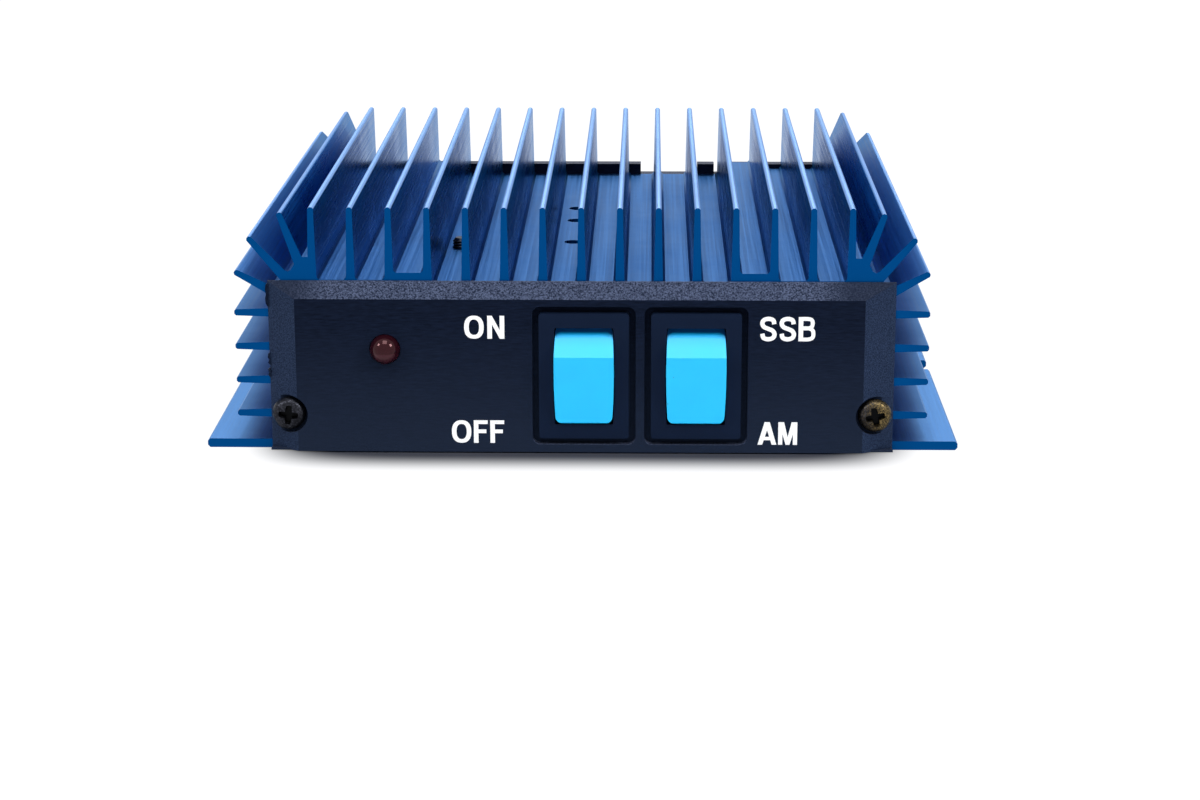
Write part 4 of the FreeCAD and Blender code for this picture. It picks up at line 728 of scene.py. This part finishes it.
for side, across in SWITCHES.items():
    softened(f"{side}_switch_housing", f"{side}_bezel_and_case", "switch_plastic", "amplifier", width=0.25)
    softened(f"{side}_rocker", f"{side}_rocker_cap", "rocker_plastic", f"{side}_rocker", width=0.35,
             segments=4, degrees=16, reshape=upper_end_drawn_in(across, 0.9))


def lamp_lens():
    """A round-nosed lamp body."""
    radius, back, collar, spring_line, rise = 2.47, -49.0, 2.0, 3.58, 2.45
    dome = [(radius * math.cos(math.radians(angle)), spring_line + rise * math.sin(math.radians(angle)))
            for angle in range(0, 91, 6)]
    mesh = bmesh.new()
    turned(mesh, [(0, 0.0), (radius, 0.0), (radius, collar), *dome], (LAMP[0], back, LAMP[1]), (0, -1, 0), 48)
    bmesh.ops.remove_doubles(mesh, verts=mesh.verts, dist=WELD)
    smooth_over(from_bmesh("lamp_lens", mesh, "lamp_red", "amplifier", "indicator_lamp"), 60)


lamp_lens()


# --------------------------------------------------------------------------------------- lettering

INK_STROKE = 0.76
INK_LIFT = 0.02
LAYER_LIFT = 0.004
CAP_HEIGHT = 3.86
LETTER_WIDTHS = {"A": 3.1, "B": 2.8, "F": 2.3, "M": 3.12, "N": 2.78, "O": 3.2, "S": 2.78}


def smooth_path(points):
    """A rounded run through a few points, with seven steps from each to the next."""
    steps = 7
    result = []
    ends = [points[0], *points, points[-1]]
    for a, b, c, d in zip(ends, ends[1:], ends[2:], ends[3:]):
        for step in range(steps):
            t = step / steps
            result.append(tuple(0.5 * (2 * q + (r - p) * t + (2 * p - 5 * q + 4 * r - s) * t * t
                                       + (3 * q - p - 3 * r + s) * t ** 3)
                                for p, q, r, s in zip(a, b, c, d)))
    result.append(points[-1])
    return result


def ribbon(points, width):
    """A flat stroke of even width along a run, as quads."""
    sides = []
    for index, point in enumerate(points):
        before = Vector(points[max(index - 1, 0)])
        after = Vector(points[min(index + 1, len(points) - 1)])
        along = (after - before).normalized()
        across = Vector((-along.y, along.x)) * width / 2
        sides.append((Vector(point) + across, Vector(point) - across))
    return [[a[0], a[1], b[1], b[0]] for a, b in zip(sides, sides[1:])]


def oval(width, height, stroke):
    """The letter O: a slightly squared ring."""
    steps, squareness = 48, 0.84
    rings = []
    for half_w, half_h in ((width / 2, height / 2), (width / 2 - stroke, height / 2 - stroke * 0.84)):
        ring = []
        for i in range(steps):
            angle = 2 * math.pi * i / steps
            c, s = math.cos(angle), math.sin(angle)
            ring.append(Vector((width / 2 + half_w * math.copysign(abs(c) ** squareness, c),
                                height / 2 + half_h * math.copysign(abs(s) ** squareness, s))))
        rings.append(ring)
    outer, inner = rings
    return [[outer[i], outer[(i + 1) % steps], inner[(i + 1) % steps], inner[i]] for i in range(steps)]


def bar(x0, y0, x1, y1):
    """An upright or level stroke between two corners."""
    return quad((x0, y0), (x1, y0), (x1, y1), (x0, y1))


def quad(*corners):
    """A stroke with the given corners."""
    return [Vector(corner) for corner in corners]


def letter_strokes(letter, w, h, s):
    """The flat strokes of one capital of a bold, narrow face, w wide and h high with a stem of s, in
    layers that don't cross within one."""
    thin = s * 0.84
    if letter == "O":
        return [oval(w, h, s)]
    if letter == "N":
        return [[bar(0, 0, s, h), bar(w - s, 0, w, h)], [quad((0, h), (w - s, 0), (w, 0), (s, h))]]
    if letter == "F":
        return [[bar(0, 0, s, h), bar(s, h - thin, w, h), bar(s, h * 0.43, w * 0.9, h * 0.43 + thin)]]
    if letter == "A":
        half = s * 0.56
        return [[quad((0, 0), (s * 1.02, 0), (w / 2 + half, h), (w / 2 - half, h))],
                [quad((w - s * 1.02, 0), (w, 0), (w / 2 + half, h), (w / 2 - half, h))],
                [bar(w * 0.24, h * 0.2, w * 0.76, h * 0.2 + thin * 0.92)]]
    if letter == "M":
        return [[bar(0, 0, s * 0.92, h), bar(w - s * 0.92, 0, w, h)],
                [quad((0.1 * s, h), (w / 2 - s * 0.42, 0), (w / 2 + s * 0.42, 0), (s * 1.24, h))],
                [quad((w - s * 1.24, h), (w / 2 - s * 0.42, 0), (w / 2 + s * 0.42, 0), (w - 0.1 * s, h))]]
    inner_w, inner_h = w - s, h - thin

    def at(u, v):
        """A place given in shares of the letter's width and height between the middles of its strokes."""
        return (s / 2 + u * inner_w, thin / 2 + v * inner_h)

    if letter == "S":
        run = [(0.97, 0.74), (0.88, 0.93), (0.5, 1.0), (0.12, 0.93), (0.01, 0.76), (0.16, 0.6), (0.5, 0.51),
               (0.86, 0.41), (1.0, 0.24), (0.88, 0.07), (0.5, 0.0), (0.12, 0.07), (0.02, 0.27)]
        return [ribbon(smooth_path([at(u, v) for u, v in run]), s * 0.93)]
    # the letter B: a stem and two bowls
    upper = [(0.0, 1.0), (0.55, 1.0), (0.86, 0.94), (0.93, 0.77), (0.84, 0.6), (0.55, 0.54), (0.0, 0.54)]
    lower = [(0.0, 0.54), (0.6, 0.54), (0.92, 0.45), (1.0, 0.27), (0.92, 0.08), (0.6, 0.0), (0.0, 0.0)]
    return [[bar(0, 0, s, h)], ribbon(smooth_path([at(u, v) for u, v in upper]), thin),
            ribbon(smooth_path([at(u, v) for u, v in lower]), thin)]


def word(name, letters, left, right, foot, height):
    """A word of separate capitals in white ink, fitted between two places on the panel's face; strokes
    that cross lie a hair apart so that none hides in another's plane."""
    widths = [LETTER_WIDTHS[letter] for letter in letters]
    gap = (right - left - sum(widths)) / (len(letters) - 1)
    mesh = bmesh.new()
    start = left
    for letter, width in zip(letters, widths):
        for layer, strokes in enumerate(letter_strokes(letter, width, height, INK_STROKE)):
            depth = PANEL_FACE - INK_LIFT - LAYER_LIFT * layer
            for stroke in strokes:
                mesh.faces.new([mesh.verts.new((start + p.x, depth, foot + p.y)) for p in stroke])
        start += width + gap
    mesh.normal_update()
    for face in mesh.faces:
        if face.normal.y > 0:
            face.normal_flip()
    piece = from_bmesh(name, mesh, "panel_plastic", "amplifier")
    piece.data.materials[0] = WHITE_INK


word("on_lettering", "ON", -19.07, -12.51, 19.46, CAP_HEIGHT)
word("off_lettering", "OFF", -21.33, -12.70, 1.76, CAP_HEIGHT)
word("ssb_lettering", "SSB", 29.09, 38.19, 19.22, CAP_HEIGHT + 0.2)
word("am_lettering", "AM", 28.99, 35.49, 1.64, CAP_HEIGHT)


# ------------------------------------------------------------------------------- sockets and bush

HEX_HALF = 9.5


def hex_reach(angle):
    """From the middle of the shoulder to its edge; corners lie at 0, 60 and so on degrees."""
    turn = angle % (math.pi / 3) - math.pi / 6
    return HEX_HALF / math.cos(turn)


def coaxial_socket(side, across):
    """Threaded barrel with a rounded mouth and a six-sided shoulder, its corners turned down."""
    centre = (across, 0, SOCKET_HEIGHT)
    backward = (0, 1, 0)
    barrel_steps, shoulder_steps = 56, 48
    root, crest, pitch = 7.45, 7.92, 1.058
    seat, thread_start, thread_end = REAR_FACE, 56.6, 71.2
    mesh = bmesh.new()
    thread(mesh, centre, backward, root, crest, pitch, thread_start, thread_end, steps=barrel_steps)
    turned(mesh, [(root, 55.7), (root, thread_start)], centre, backward, barrel_steps)
    turned(mesh, [(root, thread_end), (7.3, 71.75), (6.9, 71.8), (6.4, 71.75), (6.32, 71.4), (6.32, 47.05),
                  (7.9, 47.05), (7.9, seat)], centre, backward, barrel_steps)
    rings = []
    for along, cap in ((seat, 10.97), (54.9, 10.97), (55.8, 10.2), (55.8, 7.4)):
        ring = []
        for i in range(shoulder_steps):
            angle = 2 * math.pi * i / shoulder_steps
            radius = min(hex_reach(angle), cap)
            ring.append(mesh.verts.new((across + radius * math.cos(angle), along,
                                        SOCKET_HEIGHT + radius * math.sin(angle))))
        rings.append(ring)
    skin(mesh, rings)
    bmesh.ops.remove_doubles(mesh, verts=mesh.verts, dist=WELD)
    bmesh.ops.recalc_face_normals(mesh, faces=mesh.faces)
    smooth_over(from_bmesh(f"{side}_barrel", mesh, "nickel", "amplifier", f"{side}_socket_shell"), 30)


for side, across in SOCKETS.items():
    coaxial_socket(side, across)
    softened(f"{side}_socket_contact", f"{side}_contact_sleeve", "contact_brass", "amplifier", width=0.15)
    softened(f"{side}_socket_insulator", f"{side}_insulator_disc", "white_insulator", "amplifier", width=0.2)
softened("lead_bush", "lead_bush_rim", "bush_rubber", "amplifier", width=0.5, segments=4)


# --------------------------------------------------------------- the panel and what lies behind it

def edge_burrs():
    """Ragged flash left along the panel's left edge by the mould."""
    edge, front_and_back = -51.3, (-50.75, -50.15)
    # each run gives how far the flash stands out of the edge and at what height
    upper = ((0, 28.1), (-0.3, 27.9), (-0.42, 27.1), (-0.3, 26.3), (-0.44, 25.5), (-0.34, 24.7), (0, 24.1))
    middle = ((0, 16.4), (-0.26, 16.2), (-0.34, 15.7), (-0.12, 15.2), (-0.3, 14.7), (0, 14.4))
    lower = ((0, 13.9), (-0.34, 13.6), (-0.2, 13.1), (-0.36, 12.7), (0, 12.2))
    mesh = bmesh.new()
    for ragged in (upper, middle, lower):
        front, back = ([mesh.verts.new((edge + out, y, up)) for out, up in ragged] for y in front_and_back)
        mesh.faces.new(front)
        mesh.faces.new(list(reversed(back)))
        skin(mesh, [front, back])
    bmesh.ops.recalc_face_normals(mesh, faces=mesh.faces)
    from_bmesh("edge_flash", mesh, "panel_plastic", "amplifier")


def dress_the_rest():
    """Gives every CAD node its finish, for those that are shown as they are."""
    slots = {part["node"]: part["material_slot"] for part in frame["record"]["subparts"]}
    for node, thing in frame["nodes"].items():
        thing.data.materials.clear()
        thing.data.materials.append(FINISHES[slots[node]])


# the panel's side bevels lean by only 27.5 degrees, so they need the low angle
softened("front_panel", "panel_moulding", "panel_plastic", "amplifier", width=0.1, segments=2, degrees=18)
edge_burrs()
softened("changeover_relays", "relay_cases", "component_black", "amplifier", width=0.4)
softened("power_resistors", "resistor_bodies", "resistor_cement", "amplifier", width=0.5)
softened("transistor_cases", "transistor_mouldings", "component_black", "amplifier", width=0.25)
softened("transformer_cores", "ferrite_cores", "ferrite", "amplifier", width=0.4)
dress_the_rest()


# ------------------------------------------------------------------------- floor, light and camera

def seen_directly(tree):
    """One for the rays of the eye, of mirrors and of glass, and nought for the light on the object."""
    rays = add(tree, "LightPath")
    seen = add(tree, "Math", {0: rays.outputs["Is Camera Ray"], 1: rays.outputs["Is Glossy Ray"]},
               operation="MAXIMUM")
    seen = add(tree, "Math", {0: seen.outputs[0], 1: rays.outputs["Is Transmission Ray"]},
               operation="MAXIMUM")
    return seen.outputs[0]


def studio_floor():
    """White paper; to the eye and in reflections it is painted dark grey as a shadow zone around the part,
    under the shadow that the lamps cast, and pure white beyond that."""
    mesh = bmesh.new()
    bmesh.ops.create_grid(mesh, x_segments=1, y_segments=1, size=4.0)
    data = bpy.data.meshes.new("studio_floor")
    mesh.to_mesh(data)
    mesh.free()
    floor = bpy.data.objects.new("studio_floor", data)
    floor.location.z = -0.02 * MM
    bpy.context.scene.collection.objects.link(floor)
    material = bpy.data.materials.new("white_paper")
    material.use_nodes = True
    tree = material.node_tree
    tree.nodes.clear()
    seen = seen_directly(tree)
    # how far out of a squarish footprint of 56 by 62 mm each way, by the eighth power of each share:
    # inside it the paper is painted dark grey as shadow, and the glow fades in at its rim
    coords = add(tree, "TexCoord")
    place = add(tree, "SeparateXYZ", {0: coords.outputs["Object"]})
    powers = [add(tree, "Math", {0: place.outputs[axis], 1: half * MM}, operation="DIVIDE")
              for axis, half in (("X", 56), ("Y", 62))]
    for _ in range(3):
        powers = [add(tree, "Math", {0: share.outputs[0], 1: share.outputs[0]}, operation="MULTIPLY")
                  for share in powers]
    reach = add(tree, "Math", {0: powers[0].outputs[0], 1: powers[1].outputs[0]}, operation="ADD")
    reach = add(tree, "Math", {0: reach.outputs[0], 1: 1 / 8}, operation="POWER")
    open_floor = add(tree, "MapRange", {"Value": reach.outputs[0], "From Min": 0.87, "From Max": 1.04,
                                        "To Min": 0.0, "To Max": 1.0}, interpolation_type="SMOOTHSTEP")
    paper = add(tree, "BsdfDiffuse", {"Color": hex_colour("E4E4E4")})
    # painted shadow: the dark grey that the eye sees on the paper inside the footprint
    painted_shadow_grey = add(tree, "BsdfDiffuse", {"Color": hex_colour("3C3E46")})
    glow = add(tree, "Emission", {"Color": hex_colour("FFFFFF"), "Strength": open_floor.outputs[0]})
    lifted = add(tree, "AddShader", {0: painted_shadow_grey.outputs[0], 1: glow.outputs[0]})
    mixed = add(tree, "MixShader", {0: seen, 1: paper.outputs[0], 2: lifted.outputs[0]})
    # from below the paper isn't there, so that the underside can be looked at
    side = add(tree, "NewGeometry")
    clear = add(tree, "BsdfTransparent")
    mixed = add(tree, "MixShader", {0: side.outputs["Backfacing"], 1: mixed.outputs[0],
                                    2: clear.outputs[0]})
    add(tree, "OutputMaterial", {"Surface": mixed.outputs[0]})
    data.materials.append(material)


def studio_world():
    """An even room that lights the part dimly; to the eye and in reflections it is white."""
    world = bpy.data.worlds.new("studio")
    bpy.context.scene.world = world
    world.use_nodes = True
    tree = world.node_tree
    tree.nodes.clear()
    level = add(tree, "MapRange", {"Value": seen_directly(tree), "To Min": 0.36, "To Max": 1.0})
    sky = add(tree, "Background", {"Color": hex_colour("FFFFFF"), "Strength": level.outputs[0]})
    add(tree, "OutputWorld", {"Surface": sky.outputs[0]})


def soft_box(name, place, size, power):
    """A square soft light aimed at the part's lower half; place and size in metres, power in watts."""
    aim = Vector((0, 0, 0.02))
    light = bpy.data.lights.new(name, "AREA")
    light.size = size
    light.energy = power
    lamp = bpy.data.objects.new(name, light)
    lamp.location = place
    lamp.rotation_euler = (aim - Vector(place)).to_track_quat("-Z", "Y").to_euler()
    bpy.context.scene.collection.objects.link(lamp)


def portrait_camera():
    """A lens of 81 mm half a metre in front of the part, a little to the right of it and above."""
    lens = bpy.data.cameras.new("portrait_lens")
    lens.sensor_width = 36.0
    lens.lens = 80.93
    camera = bpy.data.objects.new("camera", lens)
    camera.location = (0.011108, -0.47926, 0.127296)
    camera.rotation_euler = Euler([math.radians(a) for a in (74.5188, 0.0569, 1.0633)])
    bpy.context.scene.collection.objects.link(camera)
    bpy.context.scene.camera = camera


studio_floor()
studio_world()
soft_box("overhead_soft_box", (0.0, -0.42, 0.92), size=0.5, power=5.0)
soft_box("right_soft_box", (0.76, -0.48, 0.63), size=0.32, power=6.0)
soft_box("left_soft_box", (-0.74, -0.5, 0.66), size=0.26, power=3.5)
soft_box("back_soft_box", (0.0, 0.8, 0.8), size=0.25, power=2.8)
portrait_camera()
bpy.context.scene.view_settings.view_transform = "Standard"
